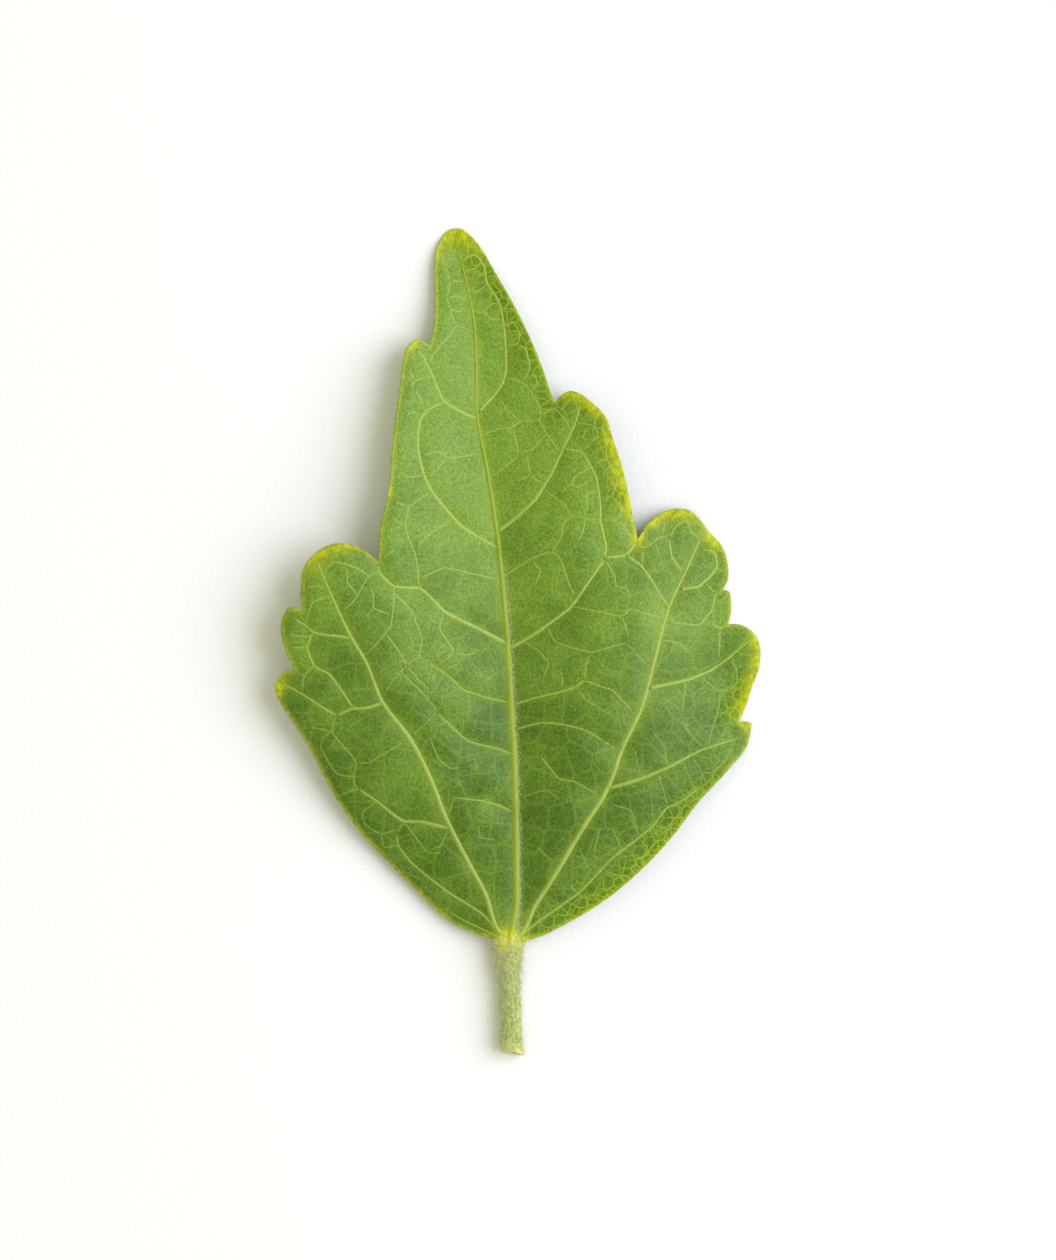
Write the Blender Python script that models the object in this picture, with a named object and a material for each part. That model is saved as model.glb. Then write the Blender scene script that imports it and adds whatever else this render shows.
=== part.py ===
"""A hibiscus leaf, picked with a short stalk and lying face up on a flat surface.

The leaf grew as one piece, so it is one solid: a thin three-lobed blade, the ribs
under its main veins, and the stalk that they run out of. Sizes in this file are in
millimetres, measured from the point where the stalk meets the blade: x to the right,
y towards the tip, z up from the surface that the leaf lies on. The finished mesh is
in metres, centred over the origin and standing on z = 0.
"""
import math

import bmesh
import bpy
import numpy as np

MM = 0.001

# Driving sizes
BLADE_THICKNESS = 0.30
EDGE_THICKNESS = 0.20
EDGE_TAPER = 0.9
REST_TOP = 0.19
REST_SOFTNESS = 0.05
ROW_SPACING = 1.05
COLUMNS_PER_HALF = 7
COLUMN_CROWDING = 0.45

# Depth and half-width of the creases that the main veins lie in, and how much of the
# depth is left at each distance from the stalk
MIDRIB_CREASE = (0.85, 2.6)
LATERAL_CREASE = (0.40, 2.2)
CREASE_FADE = [(0.0, 0.35), (6.0, 1.0), (25.0, 1.0), (50.0, 0.3)]

# The midrib, seen from above, from the stalk to the tip
MIDRIB = [
    (0.1, 0.0), (0.35, 1.6), (0.45, 5.5), (0.4, 9.0), (0.3, 12.5), (0.1, 16.0),
    (-0.3, 22.3), (-0.9, 28.2), (-1.6, 32.8), (-2.3, 36.6), (-2.35, 40.0),
    (-2.55, 43.3), (-2.95, 45.4), (-3.4, 47.3), (-3.75, 48.8), (-3.65, 49.6),
]
LEFT_LATERAL = [
    (-0.4, 0.2), (-1.8, 3.3), (-3.0, 5.5), (-4.4, 8.3), (-5.5, 11.1), (-6.9, 13.9),
    (-8.9, 16.6), (-10.1, 19.5), (-11.0, 21.0), (-12.6, 24.4), (-13.4, 26.3),
]
RIGHT_LATERAL = [
    (0.4, 0.1), (1.8, 2.4), (2.9, 4.1), (5.0, 7.6), (6.9, 10.7), (7.8, 13.2),
    (9.2, 16.2), (10.1, 19.5), (11.2, 23.4), (12.1, 25.3), (13.4, 28.1),
]

# The margin, a stretch at a time from the stalk to the tip. Each stretch ends at a
# notch or a tooth point, and is paired with the height y of the spot on the midrib
# that its last point is spanned from.
RIGHT_MARGIN = [
    (8.0, [(0.9, -0.2), (2.1, 0.2), (4.3, 1.3), (6.7, 2.8), (9.2, 4.9), (11.5, 7.4),
           (13.0, 9.4), (15.3, 11.9), (16.5, 13.4), (16.9, 15.0)]),
    (8.2, [(16.9, 15.0), (16.5, 15.1), (15.9, 15.0)]),
    (10.4, [(15.9, 15.0), (16.4, 16.1), (16.9, 17.6), (17.45, 19.3), (17.3, 20.9),
            (16.7, 21.6), (16.0, 21.9), (15.2, 21.9)]),
    (11.4, [(15.2, 21.9), (15.4, 22.7), (15.4, 23.7), (15.3, 24.2), (14.8, 24.3)]),
    (12.8, [(14.8, 24.3), (15.2, 25.1), (15.2, 26.1), (14.8, 27.4), (13.9, 28.4),
            (13.2, 29.3), (12.5, 29.9), (11.8, 30.0), (10.8, 29.8), (9.8, 29.1),
            (8.9, 27.8)]),
    (29.3, [(8.9, 27.8), (8.5, 29.7), (7.7, 33.2), (7.1, 35.0), (6.7, 36.3),
            (5.7, 37.4), (4.9, 38.0), (4.2, 38.2), (3.6, 37.9), (3.1, 37.3)]),
    (49.6, [(3.1, 37.3), (1.7, 41.2), (0.0, 44.7), (-1.1, 46.6), (-2.4, 48.7),
            (-3.0, 49.3), (-3.4, 49.6)]),
]
LEFT_MARGIN = [
    (10.4, [(-1.5, 0.1), (-3.4, 0.8), (-6.9, 3.8), (-8.7, 5.6), (-10.5, 7.6),
            (-12.0, 9.7), (-12.9, 11.3), (-13.9, 13.3), (-15.1, 15.2), (-16.0, 16.6),
            (-16.3, 17.6), (-16.0, 18.3), (-15.5, 18.7), (-14.9, 18.7)]),
    (11.4, [(-14.9, 18.7), (-15.4, 19.7), (-15.8, 20.9), (-15.9, 21.8),
            (-15.7, 22.6), (-15.3, 23.1), (-14.8, 23.0), (-14.3, 22.8)]),
    (12.8, [(-14.3, 22.8), (-14.5, 23.7), (-14.5, 24.7), (-14.4, 25.6), (-13.9, 26.5),
            (-13.2, 27.1), (-12.3, 27.5), (-11.3, 27.5), (-10.4, 27.2), (-9.1, 26.3)]),
    (34.9, [(-9.1, 26.3), (-8.9, 29.1), (-8.5, 30.8), (-8.1, 34.9), (-7.6, 38.7),
            (-7.4, 40.3), (-7.1, 41.3), (-6.4, 41.8), (-5.6, 41.4)]),
    (49.6, [(-5.6, 41.4), (-5.3, 42.5), (-5.2, 45.9), (-5.2, 47.3), (-5.0, 48.4),
            (-4.2, 49.5), (-3.9, 49.6)]),
]

# Heights of the top face between the creases, as (x, y, height)
HEIGHTS = [
    (0.0, 0.0, 2.0), (0.4, 9.0, 2.4), (0.1, 16.0, 2.5), (-0.3, 22.3, 2.35),
    (-0.9, 28.2, 2.05), (-1.7, 34.0, 1.65), (-2.3, 40.0, 1.2), (-3.3, 47.0, 0.7),
    (-3.65, 49.6, 0.4),
    (-4.0, 12.0, 2.9), (-5.4, 11.0, 3.0), (-8.9, 16.6, 3.7), (-11.0, 21.0, 4.2),
    (-13.0, 25.5, 4.4), (-3.4, 0.8, 1.4), (-8.7, 5.6, 1.2), (-12.5, 10.6, 1.9),
    (-16.0, 17.6, 2.9), (-15.8, 22.0, 3.6), (-14.4, 25.0, 4.0), (-12.0, 27.5, 4.2),
    (-9.1, 26.3, 3.9), (-8.4, 31.0, 3.6), (-7.8, 37.0, 3.1), (-6.7, 41.6, 2.4),
    (-5.3, 44.0, 1.6), (-5.1, 48.0, 0.9),
    (4.0, 9.0, 2.9), (5.0, 18.0, 3.1), (4.0, 26.0, 2.8), (3.0, 33.0, 2.2),
    (3.9, 6.0, 2.5), (7.5, 12.0, 3.0), (9.7, 18.0, 3.0), (11.3, 23.0, 2.6),
    (2.2, 0.3, 1.7), (7.0, 3.2, 1.8), (11.5, 7.4, 1.8), (15.0, 12.0, 1.4),
    (16.8, 15.0, 0.5), (17.4, 19.8, -0.4), (16.9, 17.5, -0.2), (15.4, 20.0, 0.1),
    (14.0, 18.0, 0.8), (15.3, 22.0, 0.3), (15.2, 26.0, 0.6),
    (13.0, 29.5, 0.9), (11.0, 29.8, 1.3), (8.9, 27.8, 2.1), (8.2, 31.0, 2.6),
    (7.1, 35.5, 2.6), (5.0, 38.0, 2.1), (3.1, 37.3, 1.6), (1.7, 41.2, 1.6),
    (-0.5, 46.0, 1.1), (-2.4, 48.7, 0.6),
]

# The stalk from its cut end to the blade, as (x, y, centre height, half-width,
# half-height), and the ribs under the veins, as (distance along the vein, radius)
STALK = [
    (0.22, -8.0, 0.80, 0.85, 0.80), (0.12, -7.3, 0.76, 0.76, 0.75), (0.05, -5.5, 0.72, 0.71, 0.71),
    (0.0, -3.4, 0.72, 0.70, 0.70), (-0.05, -2.2, 0.75, 0.74, 0.72), (-0.1, -1.4, 0.78, 0.88, 0.75),
    (-0.12, -0.7, 0.81, 1.00, 0.78), (-0.12, 0.2, 0.86, 1.10, 0.80),
]
RIB_RADII = [(1.4, 0.50), (4.0, 0.42), (9.0, 0.38), (16.0, 0.34), (24.0, 0.28),
             (32.0, 0.22), (40.0, 0.18), (46.0, 0.14)]
LATERAL_RIB_RADII = [(1.6, 0.26), (6.0, 0.25), (12.0, 0.22), (18.0, 0.18), (23.0, 0.14)]
RIB_STEP = 2.0
CUT_SLANT = 0.28
STALK_SIDES = 14
RIB_SIDES = 8
RIB_SINK = 0.12
SLIVER = 0.004
SHARP_ANGLE = math.radians(50)

# How finely the smooth paths are sampled, and the distance that counts as none
MARGIN_PROBES = 40
CREASE_SAMPLES = 60
RIB_SAMPLES = 200
TINY = 1e-6

LEAF_GREEN = (0.118, 0.262, 0.042, 1.0)
LEAF_ROUGHNESS = 0.55


def clear_scene():
    """Remove every object that the file opens with."""
    for thing in list(bpy.data.objects):
        bpy.data.objects.remove(thing, do_unlink=True)


def smooth_curve(knots, values, at):
    """Read a smooth curve through values at the given knots (cubic Hermite pieces)."""
    knots = np.asarray(knots, float)
    values = np.asarray(values, float)
    slopes = np.gradient(values, knots, axis=0)
    piece = np.clip(np.searchsorted(knots, at, side="right") - 1, 0, len(knots) - 2)
    span = (knots[piece + 1] - knots[piece])[:, None]
    f = ((at - knots[piece])[:, None]) / span
    return (values[piece] * (2 * f**3 - 3 * f**2 + 1)
            + slopes[piece] * span * (f**3 - 2 * f**2 + f)
            + values[piece + 1] * (3 * f**2 - 2 * f**3)
            + slopes[piece + 1] * span * (f**3 - f**2))


def along(points, fractions):
    """Points at fractions 0 to 1 of the length of a smooth path through points."""
    steps = np.linalg.norm(np.diff(np.asarray(points, float), axis=0), axis=1)
    knots = np.concatenate([[0.0], np.cumsum(steps)]) / steps.sum()
    return smooth_curve(knots, points, np.asarray(fractions, float))


def midrib_at(heights):
    """The midrib's points at the given distances y."""
    x = smooth_curve([p[1] for p in MIDRIB], [[p[0]] for p in MIDRIB], heights)
    return np.column_stack([x[:, 0], heights])


def margin_at(margin, heights):
    """The margin's points that are spanned from the midrib's points at heights."""
    points = np.zeros((len(heights), 2))
    start = 0.0
    for end, stretch in margin:
        inside = (heights >= start) & (heights <= end)
        points[inside] = along(stretch, (heights[inside] - start) / (end - start))
        start = end
    return points


def row_heights():
    """Distances along the midrib of the rows of the blade.

    Every notch on either side falls on a row, and between two notches the rows are
    as close as the longer margin needs.
    """
    ends = sorted({0.0} | {end for end, _ in RIGHT_MARGIN + LEFT_MARGIN})
    rows = [np.array([0.0])]
    for start, end in zip(ends[:-1], ends[1:]):
        probe = np.linspace(start + TINY, end - TINY, MARGIN_PROBES)
        longest = max(
            np.linalg.norm(np.diff(margin_at(side, probe), axis=0), axis=1).sum()
            for side in (LEFT_MARGIN, RIGHT_MARGIN)
        )
        count = max(2, round(longest / ROW_SPACING))
        rows.append(np.linspace(start, end, count + 1)[1:])
    return np.concatenate(rows)


def distance_to(path, points):
    """Distance of each point from a smooth path through the path's points."""
    line = along(path, np.linspace(0.0, 1.0, CREASE_SAMPLES))
    start, end = line[:-1], line[1:]
    run = end - start
    offset = points[:, None, :] - start
    f = np.clip((offset * run).sum(-1) / (run * run).sum(-1), 0.0, 1.0)
    return np.linalg.norm(offset - f[..., None] * run, axis=-1).min(axis=1)


def thin_plate(distance):
    """The bending shape of a thin sheet pushed at one point."""
    safe = np.maximum(distance, TINY)
    return safe**2 * np.log(safe)


def broad_height(points):
    """Height of the sheet bent smoothly through HEIGHTS, without creases."""
    known = np.asarray(HEIGHTS)
    count = len(known)
    gaps = np.linalg.norm(known[:, None, :2] - known[None, :, :2], axis=-1)
    plane = np.column_stack([np.ones(count), known[:, :2]])
    system = np.zeros((count + 3, count + 3))
    system[:count, :count] = thin_plate(gaps)
    system[:count, count:] = plane
    system[count:, :count] = plane.T
    weights = np.linalg.solve(system, np.concatenate([known[:, 2], np.zeros(3)]))
    reach = np.linalg.norm(points[:, None, :] - known[None, :, :2], axis=-1)
    flat = np.column_stack([np.ones(len(points)), points])
    return thin_plate(reach) @ weights[:count] + flat @ weights[count:]


def top_height(points):
    """Height of the blade's top face: the broad shape, less the creases.

    The result levels off softly where the leaf touches what it lies on.
    """
    creases = [
        depth * np.exp(-distance_to(path, points) / width)
        for path, (depth, width) in (
            (MIDRIB, MIDRIB_CREASE), (LEFT_LATERAL, LATERAL_CREASE),
            (RIGHT_LATERAL, LATERAL_CREASE),
        )
    ]
    fade = np.interp(points[:, 1], *zip(*CREASE_FADE))
    lift = broad_height(points) - fade * np.max(creases, axis=0) - REST_TOP
    return REST_TOP + 0.5 * (lift + np.sqrt(lift**2 + REST_SOFTNESS**2))


def blade_grid():
    """Plan positions of the blade's vertices, rows by columns, left margin first.

    Columns stand closer together beside the midrib and beside the margin.
    """
    heights = row_heights()
    spine = midrib_at(heights)[:, None, :]
    even = np.linspace(0.0, 1.0, COLUMNS_PER_HALF + 1)
    crowded = 0.5 - 0.5 * np.cos(math.pi * even)
    share = (even + COLUMN_CROWDING * (crowded - even))[None, :, None]
    right = spine + share * (margin_at(RIGHT_MARGIN, heights)[:, None, :] - spine)
    left = spine + share * (margin_at(LEFT_MARGIN, heights)[:, None, :] - spine)
    return np.concatenate([left[:, :0:-1], right], axis=1)


def margin_closeness(grid):
    """1 on the margin, falling to 0 within EDGE_TAPER of it."""
    rows, columns, _ = grid.shape
    flat = grid.reshape(-1, 2)
    rim = np.concatenate([grid[:, 0], grid[::-1, -1]])
    distance = np.full(len(flat), np.inf)
    for start, end in zip(rim[:-1], rim[1:]):
        run = end - start
        f = np.clip(((flat - start) @ run) / max(run @ run, TINY**2), 0.0, 1.0)
        distance = np.minimum(distance, np.linalg.norm(flat - start - f[:, None] * run, axis=1))
    return np.clip(1.0 - distance / EDGE_TAPER, 0.0, 1.0).reshape(rows, columns)


def blade_mesh():
    """The blade as a closed mesh: a top and a bottom grid joined around the rim."""
    grid = blade_grid()
    rows, columns, _ = grid.shape
    plan = grid.reshape(-1, 2)
    top = top_height(plan)
    closeness = margin_closeness(grid).ravel()
    thickness = BLADE_THICKNESS + (EDGE_THICKNESS - BLADE_THICKNESS) * closeness**2
    bottom = np.maximum(top - thickness, 0.0)
    vertices = np.concatenate([
        np.column_stack([plan, top]), np.column_stack([plan, bottom]),
    ])
    index = np.arange(rows * columns).reshape(rows, columns)
    under = rows * columns
    faces = []
    for r in range(rows - 1):
        for c in range(columns - 1):
            a, b = index[r, c], index[r, c + 1]
            d, e = index[r + 1, c], index[r + 1, c + 1]
            faces.append((a, b, e, d))
            faces.append((a + under, d + under, e + under, b + under))
    rim = np.concatenate([
        index[0, :], index[1:, -1], index[-1, -2::-1], index[-2:0:-1, 0], index[:1, 0],
    ])
    for a, b in zip(rim[:-1], rim[1:]):
        faces.append((b, a, a + under, b + under))
    return vertices, faces


def tube_mesh(centres, widths, radii, sides, slant=0.0):
    """A closed tube along centres; slant tips its first ring to give a slanted cut.

    Seen along the tube, each ring is an ellipse of the given half-width and radius.
    """
    ahead = np.gradient(centres, axis=0)
    ahead /= np.linalg.norm(ahead, axis=1, keepdims=True)
    side = np.cross(ahead, (0.0, 0.0, 1.0))
    side /= np.linalg.norm(side, axis=1, keepdims=True)
    upward = np.cross(side, ahead)
    turn = np.linspace(0.0, 2 * math.pi, sides, endpoint=False)
    sideways = widths[:, None, None] * np.cos(turn)[None, :, None] * side[:, None, :]
    upright = radii[:, None, None] * np.sin(turn)[None, :, None] * upward[:, None, :]
    rings = centres[:, None, :] + sideways + upright
    rings[0, :, 1] -= slant * (rings[0, :, 0] - centres[0, 0])
    rings[..., 2] = np.maximum(rings[..., 2], 0.0)
    vertices = rings.reshape(-1, 3)
    faces = []
    for r in range(len(centres) - 1):
        for k in range(sides):
            a, b = r * sides + k, r * sides + (k + 1) % sides
            faces.append((a, b, b + sides, a + sides))
    last = (len(centres) - 1) * sides
    faces.append(tuple(reversed(range(sides))))
    faces.append(tuple(range(last, last + sides)))
    return vertices, faces


def rib_stations(path, radii):
    """Centres and radii of a rib that hangs under the blade along a vein."""
    distances = np.array([station for station, _ in radii])
    sizes = np.array([radius for _, radius in radii])
    line = along(path, np.linspace(0.0, 1.0, RIB_SAMPLES))
    length = np.concatenate([[0.0], np.cumsum(np.linalg.norm(np.diff(line, axis=0), axis=1))])
    at = np.arange(distances[0], distances[-1], RIB_STEP)
    plan = np.column_stack([np.interp(at, length, line[:, k]) for k in (0, 1)])
    radius = np.interp(at, distances, sizes)
    centre = top_height(plan) - RIB_SINK - radius
    return np.column_stack([plan, np.maximum(centre, radius)]), radius


def stalk_stations():
    """Centres, half-widths and radii of the stalk, running on into the midrib's rib."""
    rib, radius = rib_stations(MIDRIB, RIB_RADII)
    stalk = np.asarray(STALK)
    centres = np.concatenate([stalk[:, :3], rib])
    widths = np.concatenate([stalk[:, 3], radius])
    radii = np.concatenate([stalk[:, 4], radius])
    return centres, widths, radii


def add_solid(name, vertices, faces):
    """Make an object in the scene from vertices in millimetres."""
    mesh = bpy.data.meshes.new(name)
    mesh.from_pydata((np.asarray(vertices) * MM).tolist(), [], faces)
    shape = bmesh.new()
    shape.from_mesh(mesh)
    bmesh.ops.recalc_face_normals(shape, faces=shape.faces)
    shape.to_mesh(mesh)
    shape.free()
    solid = bpy.data.objects.new(name, mesh)
    bpy.context.scene.collection.objects.link(solid)
    return solid


def join_solid(target, tool):
    """Grow tool into target with a Boolean union, then drop the tool."""
    union = target.modifiers.new("union", "BOOLEAN")
    union.operation = "UNION"
    union.solver = "EXACT"
    union.object = tool
    bpy.context.view_layer.update()
    graph = bpy.context.evaluated_depsgraph_get()
    joined = bpy.data.meshes.new_from_object(target.evaluated_get(graph))
    target.modifiers.clear()
    target.data = joined
    bpy.data.objects.remove(tool, do_unlink=True)


def drop_slivers(solid):
    """Close up the hair-thin faces that the unions leave where surfaces cross."""
    shape = bmesh.new()
    shape.from_mesh(solid.data)
    bmesh.ops.remove_doubles(shape, verts=shape.verts, dist=SLIVER * MM)
    bmesh.ops.dissolve_degenerate(shape, edges=shape.edges, dist=SLIVER * MM)
    shape.to_mesh(solid.data)
    shape.free()


def leaf_material():
    """Green leaf tissue with a low sheen."""
    material = bpy.data.materials.new("leaf_green")
    material.use_nodes = True
    shader = material.node_tree.nodes["Principled BSDF"]
    shader.inputs["Base Color"].default_value = LEAF_GREEN
    shader.inputs["Roughness"].default_value = LEAF_ROUGHNESS
    shader.inputs["Metallic"].default_value = 0.0
    return material


def centre_over_origin(leaf):
    """Move the mesh so that its box is centred over the origin and stands on z = 0."""
    places = np.array([v.co[:] for v in leaf.data.vertices])
    low, high = places.min(axis=0), places.max(axis=0)
    places -= ((low[0] + high[0]) / 2, (low[1] + high[1]) / 2, low[2])
    leaf.data.vertices.foreach_set("co", places.ravel())
    leaf.data.update()


def make_leaf():
    """Blade, ribs and stalk, grown together into the one solid of the leaf."""
    leaf = add_solid("leaf", *blade_mesh())
    join_solid(leaf, add_solid("stalk", *tube_mesh(*stalk_stations(), STALK_SIDES, CUT_SLANT)))
    for name, path in (("left_rib", LEFT_LATERAL), ("right_rib", RIGHT_LATERAL)):
        centres, radii = rib_stations(path, LATERAL_RIB_RADII)
        join_solid(leaf, add_solid(name, *tube_mesh(centres, radii, radii, RIB_SIDES)))
    drop_slivers(leaf)
    leaf.data.materials.clear()
    leaf.data.materials.append(leaf_material())
    leaf.data.shade_smooth()
    leaf.data.set_sharp_from_angle(angle=SHARP_ANGLE)
    centre_over_origin(leaf)
    return leaf


clear_scene()
make_leaf()
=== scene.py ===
"""A hibiscus leaf lying face up: its blade, veins, stalk and hairs, and a plain studio.

The shapes are worked out in millimetres in the leaf's own frame, which starts where
the stalk meets the blade: x to the right, y towards the tip, z up from the surface
that the leaf lies on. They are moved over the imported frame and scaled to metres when
they become meshes.
"""

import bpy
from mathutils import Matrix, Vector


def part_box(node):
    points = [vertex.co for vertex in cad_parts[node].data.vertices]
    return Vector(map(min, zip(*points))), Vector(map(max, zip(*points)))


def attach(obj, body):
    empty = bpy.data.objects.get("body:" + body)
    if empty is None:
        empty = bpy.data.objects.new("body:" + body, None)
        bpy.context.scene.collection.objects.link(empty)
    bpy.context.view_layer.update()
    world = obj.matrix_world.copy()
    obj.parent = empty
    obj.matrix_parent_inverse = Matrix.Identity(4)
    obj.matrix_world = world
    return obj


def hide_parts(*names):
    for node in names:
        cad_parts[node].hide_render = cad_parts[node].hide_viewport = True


bl_info = {
    "name": "Hibiscus Leaf",
    "version": (1, 0, 0),
    "blender": (4, 5, 0),
    "location": "3D View > Sidebar > Leaf",
    "description": "Builds a picked hibiscus leaf with its veins, stalk and hairs",
    "category": "Add Mesh",
}

import functools
import math

import bpy
import numpy as np

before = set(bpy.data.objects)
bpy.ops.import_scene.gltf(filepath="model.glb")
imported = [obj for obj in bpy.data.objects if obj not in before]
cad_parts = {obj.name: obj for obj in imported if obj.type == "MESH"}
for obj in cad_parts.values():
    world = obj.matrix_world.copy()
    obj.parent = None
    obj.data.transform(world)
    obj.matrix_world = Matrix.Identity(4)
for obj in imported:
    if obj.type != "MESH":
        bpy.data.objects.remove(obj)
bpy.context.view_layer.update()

MM = 0.001
NODE = "leaf"
BODY = "root"

# ---------------------------------------------------------------- shape of the leaf

# The midrib and the two side veins, seen from above, from the stalk outwards
MIDRIB = [
    (0.1, 0.0), (0.35, 1.6), (0.45, 5.5), (0.4, 9.0), (0.3, 12.5), (0.1, 16.0),
    (-0.3, 22.3), (-0.9, 28.2), (-1.6, 32.8), (-2.3, 36.6), (-2.35, 40.0),
    (-2.55, 43.3), (-2.95, 45.4), (-3.4, 47.3), (-3.75, 48.8), (-3.65, 49.6),
]
LEFT_LATERAL = [
    (-0.4, 0.2), (-1.8, 3.3), (-3.0, 5.5), (-4.4, 8.3), (-5.5, 11.1), (-6.9, 13.9),
    (-8.9, 16.6), (-10.1, 19.5), (-11.0, 21.0), (-12.6, 24.4), (-13.4, 26.3),
]
RIGHT_LATERAL = [
    (0.4, 0.1), (1.8, 2.4), (2.9, 4.1), (5.0, 7.6), (6.9, 10.7), (7.8, 13.2),
    (9.2, 16.2), (10.1, 19.5), (11.2, 23.4), (12.1, 25.3), (13.4, 28.1),
]

# The margin, a stretch at a time from the stalk to the tip. Each stretch ends at a
# notch or a tooth point, and is paired with the height y of the spot on the midrib
# that its last point is spanned from.
RIGHT_MARGIN = [
    (8.0, [(0.9, -0.2), (2.1, 0.2), (4.3, 1.3), (6.7, 2.8), (9.2, 4.9), (11.5, 7.4),
           (13.0, 9.4), (15.3, 11.9), (16.5, 13.4), (16.9, 15.0)]),
    (8.2, [(16.9, 15.0), (16.5, 15.1), (15.9, 15.0)]),
    (10.4, [(15.9, 15.0), (16.4, 16.1), (16.9, 17.6), (17.45, 19.3), (17.3, 20.9),
            (16.7, 21.6), (16.0, 21.9), (15.2, 21.9)]),
    (11.4, [(15.2, 21.9), (15.4, 22.7), (15.4, 23.7), (15.3, 24.2), (14.8, 24.3)]),
    (12.8, [(14.8, 24.3), (15.2, 25.1), (15.2, 26.1), (14.8, 27.4), (13.9, 28.4),
            (13.2, 29.3), (12.5, 29.9), (11.8, 30.0), (10.8, 29.8), (9.8, 29.1),
            (8.9, 27.8)]),
    (29.3, [(8.9, 27.8), (8.5, 29.7), (7.7, 33.2), (7.1, 35.0), (6.7, 36.3),
            (5.7, 37.4), (4.9, 38.0), (4.2, 38.2), (3.6, 37.9), (3.1, 37.3)]),
    (49.6, [(3.1, 37.3), (1.7, 41.2), (0.0, 44.7), (-1.1, 46.6), (-2.4, 48.7),
            (-3.0, 49.3), (-3.4, 49.6)]),
]
LEFT_MARGIN = [
    (10.4, [(-1.5, 0.1), (-3.4, 0.8), (-6.9, 3.8), (-8.7, 5.6), (-10.5, 7.6),
            (-12.0, 9.7), (-12.9, 11.3), (-13.9, 13.3), (-15.1, 15.2), (-16.0, 16.6),
            (-16.3, 17.6), (-16.0, 18.3), (-15.5, 18.7), (-14.9, 18.7)]),
    (11.4, [(-14.9, 18.7), (-15.4, 19.7), (-15.8, 20.9), (-15.9, 21.8),
            (-15.7, 22.6), (-15.3, 23.1), (-14.8, 23.0), (-14.3, 22.8)]),
    (12.8, [(-14.3, 22.8), (-14.5, 23.7), (-14.5, 24.7), (-14.4, 25.6), (-13.9, 26.5),
            (-13.2, 27.1), (-12.3, 27.5), (-11.3, 27.5), (-10.4, 27.2), (-9.1, 26.3)]),
    (34.9, [(-9.1, 26.3), (-8.9, 29.1), (-8.5, 30.8), (-8.1, 34.9), (-7.6, 38.7),
            (-7.4, 40.3), (-7.1, 41.3), (-6.4, 41.8), (-5.6, 41.4)]),
    (49.6, [(-5.6, 41.4), (-5.3, 42.5), (-5.2, 45.9), (-5.2, 47.3), (-5.0, 48.4),
            (-4.2, 49.5), (-3.9, 49.6)]),
]
TIP_HEIGHT = 49.6

# Heights of the top face between the creases, as (x, y, height)
HEIGHTS = [
    (0.0, 0.0, 2.0), (0.4, 9.0, 2.4), (0.1, 16.0, 2.5), (-0.3, 22.3, 2.35),
    (-0.9, 28.2, 2.05), (-1.7, 34.0, 1.65), (-2.3, 40.0, 1.2), (-3.3, 47.0, 0.7),
    (-3.65, 49.6, 0.4),
    (-4.0, 12.0, 2.9), (-5.4, 11.0, 3.0), (-8.9, 16.6, 3.7), (-11.0, 21.0, 4.2),
    (-13.0, 25.5, 4.4), (-3.4, 0.8, 1.4), (-8.7, 5.6, 1.2), (-12.5, 10.6, 1.9),
    (-16.0, 17.6, 2.9), (-15.8, 22.0, 3.6), (-14.4, 25.0, 4.0), (-12.0, 27.5, 4.2),
    (-9.1, 26.3, 3.9), (-8.4, 31.0, 3.6), (-7.8, 37.0, 3.1), (-6.7, 41.6, 2.4),
    (-5.3, 44.0, 1.6), (-5.1, 48.0, 0.9),
    (4.0, 9.0, 2.9), (5.0, 18.0, 3.1), (4.0, 26.0, 2.8), (3.0, 33.0, 2.2),
    (3.9, 6.0, 2.5), (7.5, 12.0, 3.0), (9.7, 18.0, 3.0), (11.3, 23.0, 2.6),
    (2.2, 0.3, 1.7), (7.0, 3.2, 1.8), (11.5, 7.4, 1.8), (15.0, 12.0, 1.4),
    (16.8, 15.0, 0.5), (17.4, 19.8, -0.4), (16.9, 17.5, -0.2), (15.4, 20.0, 0.1),
    (14.0, 18.0, 0.8), (15.3, 22.0, 0.3), (15.2, 26.0, 0.6),
    (13.0, 29.5, 0.9), (11.0, 29.8, 1.3), (8.9, 27.8, 2.1), (8.2, 31.0, 2.6),
    (7.1, 35.5, 2.6), (5.0, 38.0, 2.1), (3.1, 37.3, 1.6), (1.7, 41.2, 1.6),
    (-0.5, 46.0, 1.1), (-2.4, 48.7, 0.6),
]
REST_TOP = 0.19
REST_SOFTNESS = 0.05

# Half-width, depth and roundness of the creases that the veins lie in, and how much
# of the main ones is left at each distance from the stalk
MIDRIB_CREASE = (2.6, 0.85, 0.30)
LATERAL_CREASE = (2.2, 0.40, 0.25)
BRANCH_CREASE = (0.75, 0.20, 0.16)
MESH_CREASE = (0.40, 0.055, 0.12)
CREASE_FADE = [(0.0, 0.35), (6.0, 1.0), (25.0, 1.0), (50.0, 0.3)]

# Rows are this far apart along the longer margin, and columns crowd by this share
# towards the midrib and the margin
ROW_SPACING = 0.205
COLUMNS_PER_HALF = 55
COLUMN_CROWDING = 0.45
EDGE_TAPER = 0.9

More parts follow.
